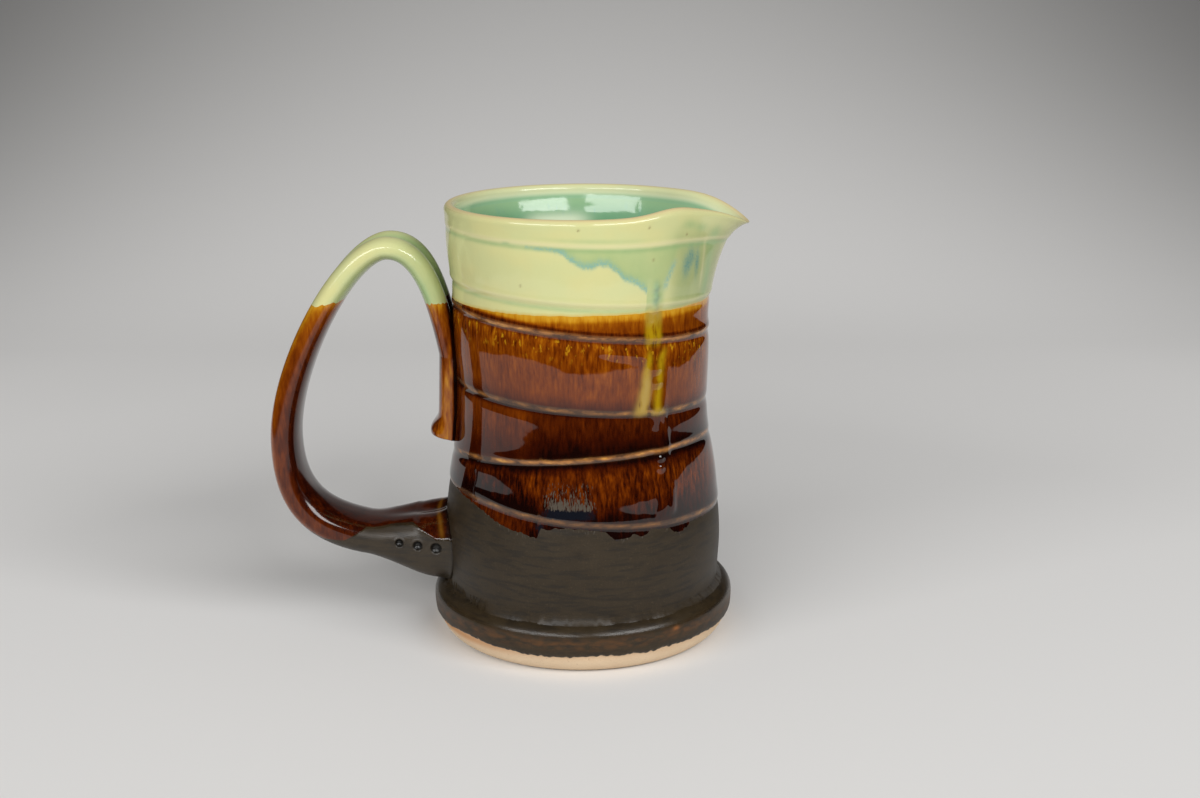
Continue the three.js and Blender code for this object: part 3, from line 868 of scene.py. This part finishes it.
def amber_look(tree):
    """Colour of amber by its depth, from gold where it is thin to black where it pools, with fine
    streaks that ran down, and their pattern."""
    streaky = grain(tree, 0.0013, long=4.0, detail=4, rough=0.6)
    fine = grain(tree, 0.0006, long=6, detail=2)
    cloudy = grain(tree, 0.0045, long=1.2, detail=2)
    pattern = added(tree, times(tree, streaky, 0.6), times(tree, fine, 0.4))
    shift = times(tree, figured(tree, "SUBTRACT", 0.5, pattern), 1.7)
    shift = times(tree, shift, mark(tree, "streak"))
    shift = added(tree, shift, between(tree, cloudy, 0.09, -0.09))
    depth = added(tree, mark(tree, "depth"), shift)
    colour = ramped(tree, depth, (
        (0.0, (0.58, 0.29, 0.020)),
        (0.15, (0.48, 0.20, 0.008)),
        (0.30, (0.34, 0.11, 0.003)),
        (0.45, (0.235, 0.055, 0.0015)),
        (0.60, (0.145, 0.027, 0.0008)),
        (0.75, (0.070, 0.0105, 0.0005)),
        (0.88, (0.030, 0.0035, 0.0004)),
        (1.0, (0.006, 0.0012, 0.0007)),
    ))
    return colour, streaky


def amber(name):
    """Streaked amber gloss with grey ribbons of painted floor reflection and light crests along the ribs,
    dark pools, gold flecks, the olive run and the dull bloom."""
    material, tree, shader = finish(name, IOR=1.52)
    colour, streaky = amber_look(tree)
    drops = eased(tree, grain(tree, 0.0011, long=1.9), 0.58, 0.70)
    colour = tinted(tree, colour, ("flecks", drops, (0.43, 0.20, 0.006)))
    # Grey ribbons under the crests: a painted reflection of the pale floor
    ribbon = times(tree, eased(tree, mark(tree, "ribbon"), 0.30, 0.75), 0.75)
    colour = laid(tree, ribbon, colour, (0.066, 0.037, 0.023))
    broken = grain(tree, 0.0050, long=0.35, detail=3, rough=0.55)
    fibrous = grain(tree, 0.00032, long=6, detail=3, rough=0.6)
    spread = times(tree, figured(tree, "SUBTRACT", fibrous, 0.5), 2.2)
    blue = eased(tree, added(tree, spread, mark(tree, "blue")), 0.35, 0.65)
    colour = tinted(
        tree, colour,
        ("crest", eased(tree, broken, 0.34, 0.60), (0.40, 0.165, 0.042)),
        ("crest", eased(tree, broken, 0.58, 0.70), (0.60, 0.29, 0.06)),
        ("olive", eased(tree, streaky, 0.16, 0.50), (0.36, 0.22, 0.004)),
        ("straw", eased(tree, streaky, 0.22, 0.60), (0.38, 0.25, 0.05)),
        ("blue", blue, (0.006, 0.007, 0.011)),
    )
    bloom = eased(tree, added(tree, spread, mark(tree, "bloom")), 0.40, 0.62)
    bloom = times(tree, bloom, eased(tree, mark(tree, "bloom"), 0.03, 0.25))
    colour = laid(tree, bloom, colour, (0.062, 0.048, 0.032))
    surfaced(tree, shader, colour, between(tree, bloom, 0.03, 0.40), grain(tree, 0.006), 0.00003)
    return material


amber_coat.data.materials.append(amber("amber_gloss"))
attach(amber_coat, "root")
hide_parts("amber_glaze")

# Cream glaze
# A pale yellow-green gloss dipped over the upper wall and turned over the lip. It breaks buff on the
# rim, pools green in the grooves, and one thick green run has milky blue edges.


def lip_rows(depth, pitch_angle):
    """Rows over the lip and down its inside, as radius and height, at an offset from the clay."""
    over = np.linspace(0, math.pi, int(math.pi / pitch_angle))[1:]
    down = np.linspace(lip_centre, turn_end, 10)[1:]
    radius = [lip_middle + (lip_wall / 2 + depth) * np.cos(over), cavity_radius(down) - depth]
    level = [lip_centre + (lip_wall / 2 + depth) * np.sin(over), down]
    return np.concatenate(radius)[:, None], np.concatenate(level)[:, None]


# Left edge of the green run, its height at a few angles, before them and after them, and its right
# edge, its turn at a few heights
green_angles = np.radians([
    -113, -109.7, -105.5, -101.3, -97.3, -95.3, -92.1, -89.3,
    -86, -82.3, -78.8, -75.8, -72.6, -67.6, -64.1, -62,
])
green_heights = 1e-3 * np.array([
    113.0, 112.7, 112.4, 112.3, 111.5, 110.3, 109.0, 107.7,
    107.9, 108.8, 108.3, 106.9, 104.9, 103.6, 102.0, 100.6,
])
green_before = 0.13
green_after = 0.08
right_heights = 1e-3 * np.array([94.1, 98.0, 101.8, 102.9, 105.3, 107.8, 112.0])
right_turns = np.array([-53.6, -53.4, -53.0, -52.8, -50.8, -48.8, -46.0])
# Spots, each with its turn, height, width, tallness and strength, and specks of one size
blue_spots = (
    (-41.5, 0.1062, 0.0015, 0.0028, 1.0),
    (-38.5, 0.1085, 0.0013, 0.0022, 1.0),
    (-34.4, 0.1066, 0.0009, 0.0036, 1.0),
)
green_spots = (
    (-41, 0.1163, 0.0028, 0.0012, 0.8),
    (-33.5, 0.1155, 0.0020, 0.0012, 0.7),
    (-121.4, 0.1138, 0.0010, 0.0004, 1.0),
)
speck_size = 0.00028
specks = (
    (-115.4, 0.1030), (-91.0, 0.1176), (-62.0, 0.1172), (-42.4, 0.1141), (-59.7, 0.1091),
    (48, 0.1052), (84, 0.1136), (121, 0.1011), (158, 0.1090),
)
# How the green run begins at its edges and how strong it is inside, and the milky line along them
green_waver = 0.00014
left_soft = (-0.0004, 0.0006)
right_soft = (-0.0010, 0.0014)
top_soft = (0.0004, 0.0014)
green_least = 0.70
green_spread = 0.0022
milky_right = 0.0009
milky_middle = 0.0004
milky_above = 0.0011
milky_below = 0.0007
milky_end = math.radians(-61)
# Green pools under the fifth and the sixth crest, and one over the sixth on the front, and pale crests
pool_width = 0.0006
fifth_drop = 0.00165
sixth_drop = 0.0013
front_rise = 0.0011
front_turn = -85
front_reach = 0.013
fifth_pale = 0.0006
sixth_pale = 0.0005
# Where the run leaves the cream it is straw, which fades upwards, and the width of the cream's edge
straw_fade = (0.0985, 0.0950)
edge_width = 0.0005
# On the pouring lip, in degrees to each side: the green wash with painted shade, the green strips and the
# pale strip on the near side, and the heights between which the milky right edge and the strips rise and
# fall
wash_ends = (8, 20, 44, 56)
wash_soft = (-0.0045, 0.0010)
strip_turn = 24.8
strip_width = 3.2
pale_turn = -29.8
pale_width = 1.0
milky_ends = (0.1000, 0.1025, 0.1065, 0.1095)
strip_ends = (0.092, 0.098, 0.114, 0.1175)
pale_ends = (0.096, 0.104, 0.110, 0.1150)


def cream_marks(angle, z):
    """The green run and its milky edges, blue spots, green lines along the ribs, green and pale strips
    on the pouring lip, pale crests and a few specks."""
    above = z - crest_heights(angle)
    over = z - np.interp(angle, green_angles, green_heights, green_before, green_after)
    over = over + green_waver * wavering(angle, 150, 11)
    inward = -along_wall(angle, np.interp(z, right_heights, right_turns))
    within = smoothstep(inward, *right_soft) * smoothstep(-above[5], *top_soft)
    green = green_least + (1 - green_least) * bell(over, green_spread)
    green = smoothstep(over, *left_soft) * within * green
    milky = bell(over - milky_middle, np.where(over > milky_middle, milky_above, milky_below)) * within
    milky = milky * (angle < milky_end)
    milky = milky + 0.8 * bell(inward, milky_right) * faded(z, *milky_ends)
    side = np.abs(np.degrees(angle))
    # The wash is a green tint with painted shade on both sides of the pouring lip
    wash = faded(side, *wash_ends) * smoothstep(-above[5], *wash_soft)
    pool_and_shade = 0.80 * bell(above[5] + sixth_drop, pool_width) + 0.70 * bell(above[4] + fifth_drop, pool_width)
    front = bell(along_wall(angle, front_turn), front_reach)
    pool_and_shade = pool_and_shade + 0.45 * bell(above[5] - front_rise, pool_width) * front
    pool_and_shade = pool_and_shade + 0.8 * bell(side - strip_turn, strip_width) * faded(z, *strip_ends)
    pool_and_shade = pool_and_shade + dabs(angle, z, green_spots)
    strip = bell(np.degrees(angle) - pale_turn, pale_width) * faded(z, *pale_ends)
    pale = bell(above[5], sixth_pale) + 0.7 * bell(above[4], fifth_pale) + 0.6 * strip
    return {
        "pool_and_shade": np.clip(pool_and_shade, 0, 1),
        "green": green,
        "milky": np.clip(milky, 0, 1),
        "spot": np.clip(dabs(angle, z, blue_spots), 0, 1),
        "wash": wash,
        "pale": np.clip(pale, 0, 1),
        "run": run_mark(angle, z),
        "straw": run_top(angle) * smoothstep(z, *straw_fade),
        "edge": bell(z - cream_line(angle), edge_width),
        "speck": dabs(angle, z, [(*speck, speck_size, speck_size, 1.0) for speck in specks]),
    }


# The buff line over the lip, as shares of the way over it, and a row past the last one, for its normals
buff_middle = 0.27
buff_width = 0.14
ghost_step = 0.0004
angle = turned(columns)
low = cream_line(angle)
rows = int((lip_centre - low.min()) / row_pitch)
share = np.linspace(-1 / rows, 1, rows + 2)[:, None]
z = low + (lip_centre - low) * share
angle_grid = angle + 0 * z
outer = glazed_points(angle_grid, z, 1)
rim_radius, rim_level = lip_rows(coat, 0.16)
rim = wall_points(angle + 0 * rim_level, rim_radius + 0 * angle, rim_level + 0 * angle)
ghost_level = np.array([[turn_end - ghost_step]])
ghost = wall_points(angle, cavity_radius(ghost_level) - coat + 0 * angle, ghost_level + 0 * angle)
face = np.concatenate([outer, rim, ghost])
over_share = np.linspace(0, 1, rim.shape[0])[:, None] + 0 * angle
marks = {
    name: np.concatenate([values, 0 * over_share])
    for name, values in cream_marks(angle_grid[1:], z[1:]).items()
}
marks["lip"] = np.concatenate([0 * z[1:], bell(over_share - buff_middle, buff_width)])
marks["inside"] = np.concatenate([0 * z[1:], over_share**2])
face_rows = face.shape[0] - 2
cream_coat = shelled("cream_glaze_skin", face[1:-1], ring_normals(face)[1:-1], marks, face_rows // 6)


def cream(name):
    """Cream gloss with green pools, the green run with its milky edges, blue spots and a buff rim."""
    material, tree, shader = finish(name, IOR=1.5)
    cloudy = grain(tree, 0.011, long=0.7)
    soft = grain(tree, 0.004, long=1.6)
    flecked = eased(tree, grain(tree, 0.0006), 0.30, 0.60)
    colour = laid(tree, eased(tree, cloudy, 0.35, 0.68), (0.59, 0.60, 0.29), (0.62, 0.60, 0.28))
    colour = tinted(
        tree, colour,
        # Green tint and painted shade beside the pouring lip
        ("wash", between(tree, soft, 0.65, 1.0), (0.325, 0.385, 0.168)),
        ("pool_and_shade", between(tree, soft, 0.45, 1.0), (0.27, 0.42, 0.19)),
        ("green", between(tree, soft, 0.60, 1.05), (0.29, 0.42, 0.18)),
        ("pale", 0.6, (0.70, 0.64, 0.36)),
        ("run", 0.8, (0.22, 0.35, 0.22)),
        ("milky", between(tree, flecked, 0.35, 0.95), (0.23, 0.41, 0.33)),
        ("spot", between(tree, flecked, 1.0, 0.65), (0.13, 0.27, 0.23)),
        ("straw", 0.8, (0.50, 0.42, 0.12)),
        ("edge", 0.75, (0.56, 0.38, 0.08)),
        ("speck", 0.8, (0.20, 0.14, 0.06)),
        ("lip", 0.8, (0.70, 0.52, 0.26)),
        ("inside", 1.0, (0.72, 0.82, 0.58)),
    )
    colour = laid(tree, eased(tree, mark(tree, "inside"), 0.48, 0.85), colour, (0.28, 0.47, 0.27))
    surfaced(tree, shader, colour, between(tree, mark(tree, "lip"), 0.11, 0.45), soft, 0.00010)
    return material


cream_coat.data.materials.append(cream("cream_gloss"))
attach(cream_coat, "root")
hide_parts("cream_glaze")

# Handle glazes
# The dips that coloured the wall coloured the strap too: amber on its tail and grip, cream over its arch
# and satin bronze under its root. It is two rolls with a groove between, and the root has dimples.
tail_top = 0.079
tail_cut = 0.0555
tail_proud = 0.0052
tail_sink = 0.0014
tail_toe = 0.0022
toe_length = 0.0032
toe_rise = 0.0009
tail_slant = 0.0008
slant_length = 0.0045
arch_out = 0.0184
arch_drop = 0.0117
grip_out = 0.04845
grip_height = 0.0545
bend_out = 0.027
bend_height = 0.0272
root_height = 0.0243
root_sink = 0.002
root_scoop = 0.0012
strap_groove = 0.0017
groove_spread = 0.0034
strap_squareness = 2.5
root_squareness = 4.0
end_squareness = 2.2
root_rounding = 0.35
root_tilt = 0.086
fillet_rise = 0.0013
fillet_reach = 0.0017
ridge_rise = 0.0004
ridge_width = 0.11
strap_dip = 0.0937
dip_waver = 0.00022
dip_slant = 0.0009
satin_start = 0.0636
cut_rounding = 0.0009
cut_flat = 0.8
pressed = tail_proud + tail_sink
strap_widths = np.array([0.017, 0.0175, 0.0195, 0.0185, 0.020, 0.0245])
strap_depths = np.array([pressed, pressed, 0.0070, 0.0081, 0.0104, 0.0198])

# The middle of the strap in five lengths, as distance along X and height: each goes from one point to
# the next, and its two handles lie at shares of the way between them
tail_middle = (tail_proud - tail_sink) / 2
strap_knots = np.array([
    (-clay_radius(tail_cut) - tail_middle, tail_cut),
    (-clay_radius(tail_top) - tail_middle, tail_top),
    (-waist_radius - arch_out, height - arch_drop),
    (-waist_radius - grip_out, grip_height),
    (-waist_radius - bend_out, bend_height),
    (-clay_radius(root_height) + root_sink, root_height),
])
leaving = np.array([(1 / 3, 1 / 3), (0.18, 0.52), (0.375, 0), (0, 0.60), (0.3, 0.42)])
arriving = np.array([(2 / 3, 2 / 3), (0.4, 1), (1, 0.62), (0.30, 0.88), (0.66, 0.75)])
strap_spans = strap_knots[1:] - strap_knots[:-1]
strap_starts = strap_knots[:-1]
strap_handles = np.stack([
    strap_starts,
    strap_starts + strap_spans * leaving,
    strap_starts + strap_spans * arriving,
    strap_knots[1:],
], axis=1)


def strap_middle(u):
    """Middle and direction of the strap at u, counted in lengths from the cut end: cubic curves."""
    index = np.clip(np.floor(u), 0, 4).astype(int)
    share = u - index
    rest = 1 - share
    weights = [rest**3, 3 * rest**2 * share, 3 * rest * share**2, share**3]
    both = 6 * rest * share
    slopes = [-3 * rest**2, 3 * rest**2 - both, both - 3 * share**2, 3 * share**2]
    held = strap_handles[index]
    middle = (held * np.stack(weights, axis=-1)[..., None]).sum(-2)
    ahead = (held * np.stack(slopes, axis=-1)[..., None]).sum(-2)
    return middle, ahead / np.linalg.norm(ahead, axis=-1, keepdims=True)


def along_strap(sizes, u):
    """A size eased from each of the strap's points to the next."""
    index = np.clip(np.floor(u), 0, 4).astype(int)
    return sizes[index] + (sizes[index + 1] - sizes[index]) * smoothstep(u - index, 0, 1)


# Dimples pressed into both sides of the root with a round stick: radius, and the last one's place
dimple_radii = np.array([0.0012, 0.0014, 0.0016])
dimple_pitch = 0.0051
dimple_out = 0.0028
dimple_rise = 0.0011
dimple_depth = 0.0009
dimple_rim = 0.00013
dimple_x = -clay_radius(root_height) - dimple_out - dimple_pitch * np.arange(2, -1, -1)
root_share = (dimple_x - strap_knots[4, 0]) / (strap_knots[5, 0] - strap_knots[4, 0])
dimple_z = strap_middle(4 + root_share)[0][:, 1] + dimple_rise


def strap_section(u, turn):
    """Shares of the section's half depth and half width at a turn round it: a superellipse."""
    power = strap_squareness + (root_squareness - strap_squareness) * smoothstep(u, 4, 5)
    power = power + (end_squareness - power) * smoothstep(u, 5 - root_rounding, 5)
    swell = (np.abs(np.cos(turn)) ** power + np.abs(np.sin(turn)) ** power) ** (-1 / power)
    return np.cos(turn) * swell, np.sin(turn) * swell


# Where the satin ends on the sides of the root, at places along X: shares of half its depth, from 1 at
# the underside to -1 at the top
satin_places = [-0.082, -0.079, -0.072, -0.066, -0.060, -0.053, -0.047, -0.0405]
satin_shares = [1.2, 0.75, 0.6, 0.2, -0.7, -0.86, -0.90, -0.42]


def satin_share(x):
    """Where the satin ends at X, blended between its places: it reaches highest halfway to the wall."""
    return np.interp(x, satin_places, satin_shares)


def strap_points(u, turn, scale=1.0):
    """The strap's glazed skin: a superellipse carried along the middle, with a groove down its outer
    face, a hollow along the top of the root with a ridge at its edges, a toe and a slanted cut at the
    tail, dimples, and a fillet at the wall."""
    middle, ahead = strap_middle(u)
    face, edge = strap_section(u, turn)
    half_width = along_strap(strap_widths, u) / 2
    half_depth = along_strap(strap_depths, u) / 2
    at_root = smoothstep(u, 4, 5)
    across = half_width * edge
    hollow = bell(across, groove_spread)
    groove = strap_groove * smoothstep(u, 0, 1) * (1 - at_root) * smoothstep(face, 0, 0.4)
    scoop = root_scoop * at_root * smoothstep(-face, 0, 0.4)
    toe = tail_toe * bell(middle[..., 1] - tail_cut - toe_rise, toe_length) * (u < 1)
    tilt = root_tilt * at_root * across * np.minimum(face, 0)
    out = half_depth * face + hollow * (scoop - groove) + toe * np.minimum(face, 0) + tilt
    out, across = out * scale, across * scale
    x = middle[..., 0] + ahead[..., 1] * out
    z = middle[..., 1] - ahead[..., 0] * out
    z = z - tail_slant * face * scale * bell(middle[..., 1] - tail_cut, slant_length) * (u < 1)
    gap = np.hypot(x, across) - wall_radius(z) - coat
    fillet = fillet_rise * np.exp(-np.maximum(gap, 0) / fillet_reach) * smoothstep(u, 4.4, 4.8)
    ridge = ridge_rise * bell(face - satin_share(x), ridge_width)
    fillet = fillet + ridge * smoothstep(u, 4.0, 4.3)
    size = np.maximum(np.hypot(out, across), 1e-6)
    x = x + ahead[..., 1] * out / size * fillet
    z = z - ahead[..., 0] * out / size * fillet
    across = across * (1 + fillet / size)
    away = np.hypot(x[..., None] - dimple_x, z[..., None] - dimple_z) / dimple_radii
    pit = dimple_depth * np.clip(1 - away**2, 0, 1) - dimple_rim * bell(away - 1.15, 0.22)
    across = across - np.sign(across) * np.where(u > 4, pit.sum(-1), 0)
    return np.stack([x, across, z], axis=-1)


def dip_edge(turn, guess, seed, slant):
    """Where the dip line of the cream, which may slant across the strap, crosses it at each turn, by a
    few Newton steps."""
    line = strap_dip - slant * np.cos(turn) + dip_waver * wavering(turn, 24, seed)
    u = np.full(turn.shape, guess)
    for _ in range(5):
        level = strap_points(u, turn)[..., 2]
        rate = (strap_points(u + 0.01, turn)[..., 2] - level) / 0.01
        u = u + np.clip((line - level) / rate, -0.1, 0.1)
    return u


def strap_coat(name, start, end, rows, capped=False):
    """A coat on the strap between two lines round it, with the strap's cut end closed if capped."""
    share = np.linspace(-1 / rows, 1 + 1 / rows, rows + 3)[:, None]
    u = start + (end - start) * share
    scale = 1.0
    first = 1
    if capped:
        cap = np.array([0.25, 0.5, 0.75, 0.88, 0.95, 0.985])[:, None]
        bend = 1 - np.sqrt(1 - np.clip((cap - cut_flat) / (1 - cut_flat), 0, 1) ** 2)
        u = np.concatenate([start + cut_rounding / tail_length * bend, u[2:]])
        scale = np.concatenate([cap, np.ones((u.shape[0] - cap.size, 1))])
        first = 0
    turn = strap_turn + 0 * u
    grid = strap_points(u, turn, scale)
    face = grid[first:-1]
    marks = strap_marks(u[first:-1], turn[first:-1], face)
    return shelled(name, face, ring_normals(grid)[first:-1], marks, face.shape[0] // 4, capped)


# The amber's depth on the strap by distance under the dip line, on the grip and on the tail, its depth
# in the lower bend, the gold line off the wall, and where across the strap its rolls wear light
grip_depths = ((0, 0.002, 0.007, 0.018, 0.050), (0.12, 0.36, 0.52, 0.64, 0.74))
tail_depths = ((0, 0.002, 0.010, 0.020, 0.036), (0.16, 0.38, 0.62, 0.40, 0.34))
bend_depth = 0.85
gold_gap = 0.0022
gold_width = 0.0006
roll_place = 0.72
roll_width = 0.22


def strap_marks(u, turn, face):
    """The glaze's depth with painted shade at the tail's edges and along the wall, the groove's pooling
    with painted shade on the inner face and the arch, the satin under the root, the dimples, the gold,
    and painted shade in the crevice at the wall. The marks that only the wall's cream has are 0 here."""
    share, edge = strap_section(u, turn)
    x, y, z = face[..., 0], face[..., 1], face[..., 2]
    half_width = along_strap(strap_widths, u) / 2
    pool_and_shade = bell(half_width * edge, groove_spread) * smoothstep(share, 0, 0.4)
    away = np.hypot(x[..., None] - dimple_x, z[..., None] - dimple_z) / dimple_radii
    gap = np.maximum(np.hypot(x, y) - wall_radius(z) - coat, 0)
    roll = bell(np.abs(edge) - roll_place, roll_width) * smoothstep(share, 0.2, 0.6)
    below = strap_dip - z
    grip_depth = np.interp(below, *grip_depths)
    grip_depth = grip_depth - 0.32 * roll + 0.18 * pool_and_shade + 0.16 * smoothstep(-share, 0.0, 0.6)
    at_bend = smoothstep(u, 3.7, 4.1) * smoothstep(-share, -0.2, 0.4)
    grip_depth = grip_depth + (bend_depth - grip_depth) * at_bend
    tail_depth = np.interp(below, *tail_depths)
    # On the tail, painted shade darkens the edges of its side and a line along the crevice at the wall
    tail_depth = tail_depth + 0.30 * smoothstep(np.abs(share), 0.45, 0.95) + bell(gap - 0.0009, 0.0005)
    # Painted shade in the green of the pools: on the strap's inner face and, nearer the tail, on the
    # whole arch
    pool_and_shade = pool_and_shade * (1 - smoothstep(u, 4, 4.6)) + 0.75 * smoothstep(-share, -0.1, 0.7)
    pool_and_shade = pool_and_shade + 0.55 * smoothstep(-u, -2.05, -1.6)
    # Painted shade in the crevice where the root meets the wall
    wall_crevice_shade = np.where(share < satin_share(x), 0.85 * bell(gap, 0.0011), 0.6 * np.exp(-gap / 0.0004))
    wall_only = "green milky spot wash straw edge pale run speck lip inside".split()
    return {
        "depth": np.where(u < 2, tail_depth, grip_depth),
        "streak": np.where(u < 2, 0.7, 0.35),
        "pool_and_shade": np.clip(pool_and_shade, 0, 1),
        "bronze": smoothstep(share - satin_share(x), -0.10, 0.10) * (u > 3),
        "pit": smoothstep(-away, -1.15, -0.75).sum(-1) * (u > 4),
        "gold": 0.8 * bell(gap - gold_gap, gold_width) * smoothstep(-share, 0.2, 0.7) * (u > 4),
        "wall_crevice_shade": wall_crevice_shade * (u > 4),
        **dict.fromkeys(wall_only, 0 * z),
    }


strap_turn = turned(224)
tail_length = tail_top - tail_cut
rising = np.linspace(1, 2, 60)
falling = np.linspace(2, 3, 60)
first_guess = np.interp(strap_dip, strap_middle(rising)[0][:, 1], rising)
cream_start = dip_edge(strap_turn, first_guess, 21, 0)
second_guess = np.interp(-strap_dip, -strap_middle(falling)[0][:, 1], falling)
cream_end = dip_edge(strap_turn, second_guess, 22, dip_slant)
bending = np.linspace(3, 4, 60)
bronze_start = np.interp(-satin_start, strap_middle(bending)[0][:, 0], bending) + 0 * strap_turn

tail_coat = strap_coat("handle_tail_skin", 0 * strap_turn, cream_start, 100, capped=True)
arch_coat = strap_coat("handle_cream_skin", cream_start, cream_end, 120)
grip_coat = strap_coat("handle_grip_skin", cream_end, bronze_start, 170)
root_coat = strap_coat("handle_root_skin", bronze_start, 5 + 0 * strap_turn, 120)


def root_glaze(name):
    """Amber gloss that turns to satin bronze under the strap, gold at the wall, with painted shade in the
    dimples and the wall's crevice.
    """
    material, tree, shader = finish(name, IOR=1.5)
    colour = amber_look(tree)[0]
    satin, rough, level = bronze_look(tree)
    patchy = grain(tree, 0.003)
    colour = tinted(tree, colour, ("gold", between(tree, patchy, 0.1, 0.9), (0.30, 0.13, 0.010)))
    wander = added(tree, mark(tree, "bronze"), between(tree, patchy, -0.15, 0.15))
    share = eased(tree, wander, 0.40, 0.60)
    colour = laid(tree, share, colour, satin)
    # Painted shade, nearly black, in the dimples and in the crevice at the wall
    painted_pit_and_crevice_shade = figured(tree, "MAXIMUM", mark(tree, "pit"), mark(tree, "wall_crevice_shade"))
    colour = laid(tree, painted_pit_and_crevice_shade, colour, (0.005, 0.004, 0.003))
    rough = between(tree, eased(tree, wander, 0.75, 1.05), 0.12, rough)
    rough = between(tree, mark(tree, "pit"), rough, 0.32)
    surfaced(tree, shader, colour, rough, between(tree, share, 0.5, level), 0.00006)
    return material


handle_amber = root_glaze("handle_amber")
for piece, node, slot, material in (
    (tail_coat, "handle_tail_glaze", "amber_gloss", handle_amber),
    (arch_coat, "handle_cream_glaze", "cream_gloss", cream_coat.data.materials[0]),
    (grip_coat, "handle_grip_glaze", "amber_gloss", handle_amber),
    (root_coat, "handle_root_glaze", "bronze_satin", handle_amber),
):
    piece.data.materials.append(material)
    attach(piece, "root")
    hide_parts(node)

# Floor and light
# A pale paper sweep: a table that curves up behind the jug, under two soft boxes left and right of the
# camera. The room in front of the table is dark, which the glossy glazes show.
sweep_start = 0.35
sweep_radius = 0.6
sweep_top = 1.6
sweep_width = 8.0
paper_front = 0.290
paper_half = 0.330
paper_corner = 0.24
paper_edge = 0.004
fade_start = 0.44
fade_end = 1.06
fade_squeeze = 1.4
front_fade = 0.6
paper_near = (0.79, 0.78, 0.766)
paper_far = (0.165, 0.162, 0.158)
room_dark = (0.008, 0.008, 0.008)
sweep_turn = np.linspace(0, math.pi / 2, 25)
sweep_back = sweep_start + sweep_radius
sweep_y = np.concatenate([[-sweep_width], sweep_start + sweep_radius * np.sin(sweep_turn), [sweep_back]])
sweep_z = np.concatenate([[0.0], sweep_radius * (1 - np.cos(sweep_turn)), [sweep_top]])
left_side = np.stack([np.full(sweep_y.size, -sweep_width), sweep_y, sweep_z], axis=-1)
right_side = left_side * (-1, 1, 1)
step = np.arange(sweep_y.size - 1)
strips = np.stack([step, step + sweep_y.size, step + sweep_y.size + 1, step + 1], axis=-1)
floor_mesh = bpy.data.meshes.new("floor")
floor_mesh.from_pydata(np.concatenate([left_side, right_side]), [], strips.tolist(), shade_flat=False)
floor = bpy.data.objects.new("floor", floor_mesh)
bpy.context.scene.collection.objects.link(floor)
material, tree, shader = finish("pale_floor", Roughness=0.6, Specular_IOR_Level=0.0)


def squared_past(value, start):
    """Square of how far a value is past a start, and 0 before it."""
    past = figured(tree, "MAXIMUM", figured(tree, "SUBTRACT", value, start), 0.0)
    return times(tree, past, past)


# In the glazes the paper ends, with rounded corners, in front of the jug and at its sides, and the
# room past it is dark
aside = figured(tree, "ABSOLUTE", coordinate(tree, "X"), 0.0)
ahead = times(tree, coordinate(tree, "Y"), -1.0)
past_side = squared_past(aside, paper_half - paper_corner)
past_front = squared_past(ahead, paper_front - paper_corner)
from_corner = figured(tree, "POWER", added(tree, past_side, past_front), 0.5)
off_paper = eased(tree, from_corner, paper_corner - paper_edge, paper_corner + paper_edge)
rays = tree.nodes.new("ShaderNodeLightPath")
off_paper = times(tree, off_paper, rays.outputs["Is Glossy Ray"])

# The paper darkens away from the jug, as the light falls off, and most behind it
squeezed = times(tree, coordinate(tree, "X"), fade_squeeze)
away = added(tree, times(tree, squeezed, squeezed), times(tree, ahead, ahead))
fading = eased(tree, figured(tree, "POWER", away, 0.5), fade_start, fade_end)
behind = between(tree, eased(tree, coordinate(tree, "Y"), -0.40, 0.20), front_fade, 1.0)
fading = times(tree, fading, behind)
colour = laid(tree, fading, paper_near, paper_far)
feed(tree, shader.inputs["Base Color"], laid(tree, off_paper, colour, room_dark))
floor_mesh.materials.append(material)

# Two soft boxes aimed at the jug: azimuth and elevation in degrees, distance, size and watts
for name, azimuth, elevation, distance, wide, tall, power in (
    ("left_box", -33, 28, 1.90, 1.80, 0.50, 21.5),
    ("right_box", 39, 34, 1.90, 1.55, 0.55, 24.0),
):
    lamp_data = bpy.data.lights.new(name, "AREA")
    lamp_data.shape = "RECTANGLE"
    lamp_data.size = wide
    lamp_data.size_y = tall
    lamp_data.energy = power
    lamp = bpy.data.objects.new(name, lamp_data)
    turn, rise = math.radians(azimuth), math.radians(elevation)
    out = (math.sin(turn) * math.cos(rise), -math.cos(turn) * math.cos(rise), math.sin(rise))
    spot = Matrix.Translation([distance * share for share in out[:2]] + [distance * out[2] + height / 2])
    aim = Matrix.Rotation(turn, 4, "Z") @ Matrix.Rotation(math.pi / 2 - rise, 4, "X")
    lamp.matrix_world = spot @ aim
    bpy.context.scene.collection.objects.link(lamp)

# The room's own light is dim, and dark in the glazes
world = bpy.data.worlds.new("room")
world.use_nodes = True
tree = world.node_tree
rays = tree.nodes.new("ShaderNodeLightPath")
dim = laid(tree, rays.outputs["Is Glossy Ray"], (0.22, 0.22, 0.22), (0.012, 0.012, 0.012))
tree.links.new(dim, tree.nodes["Background"].inputs["Color"])
bpy.context.scene.world = world
bpy.context.scene.view_settings.view_transform = "Standard"
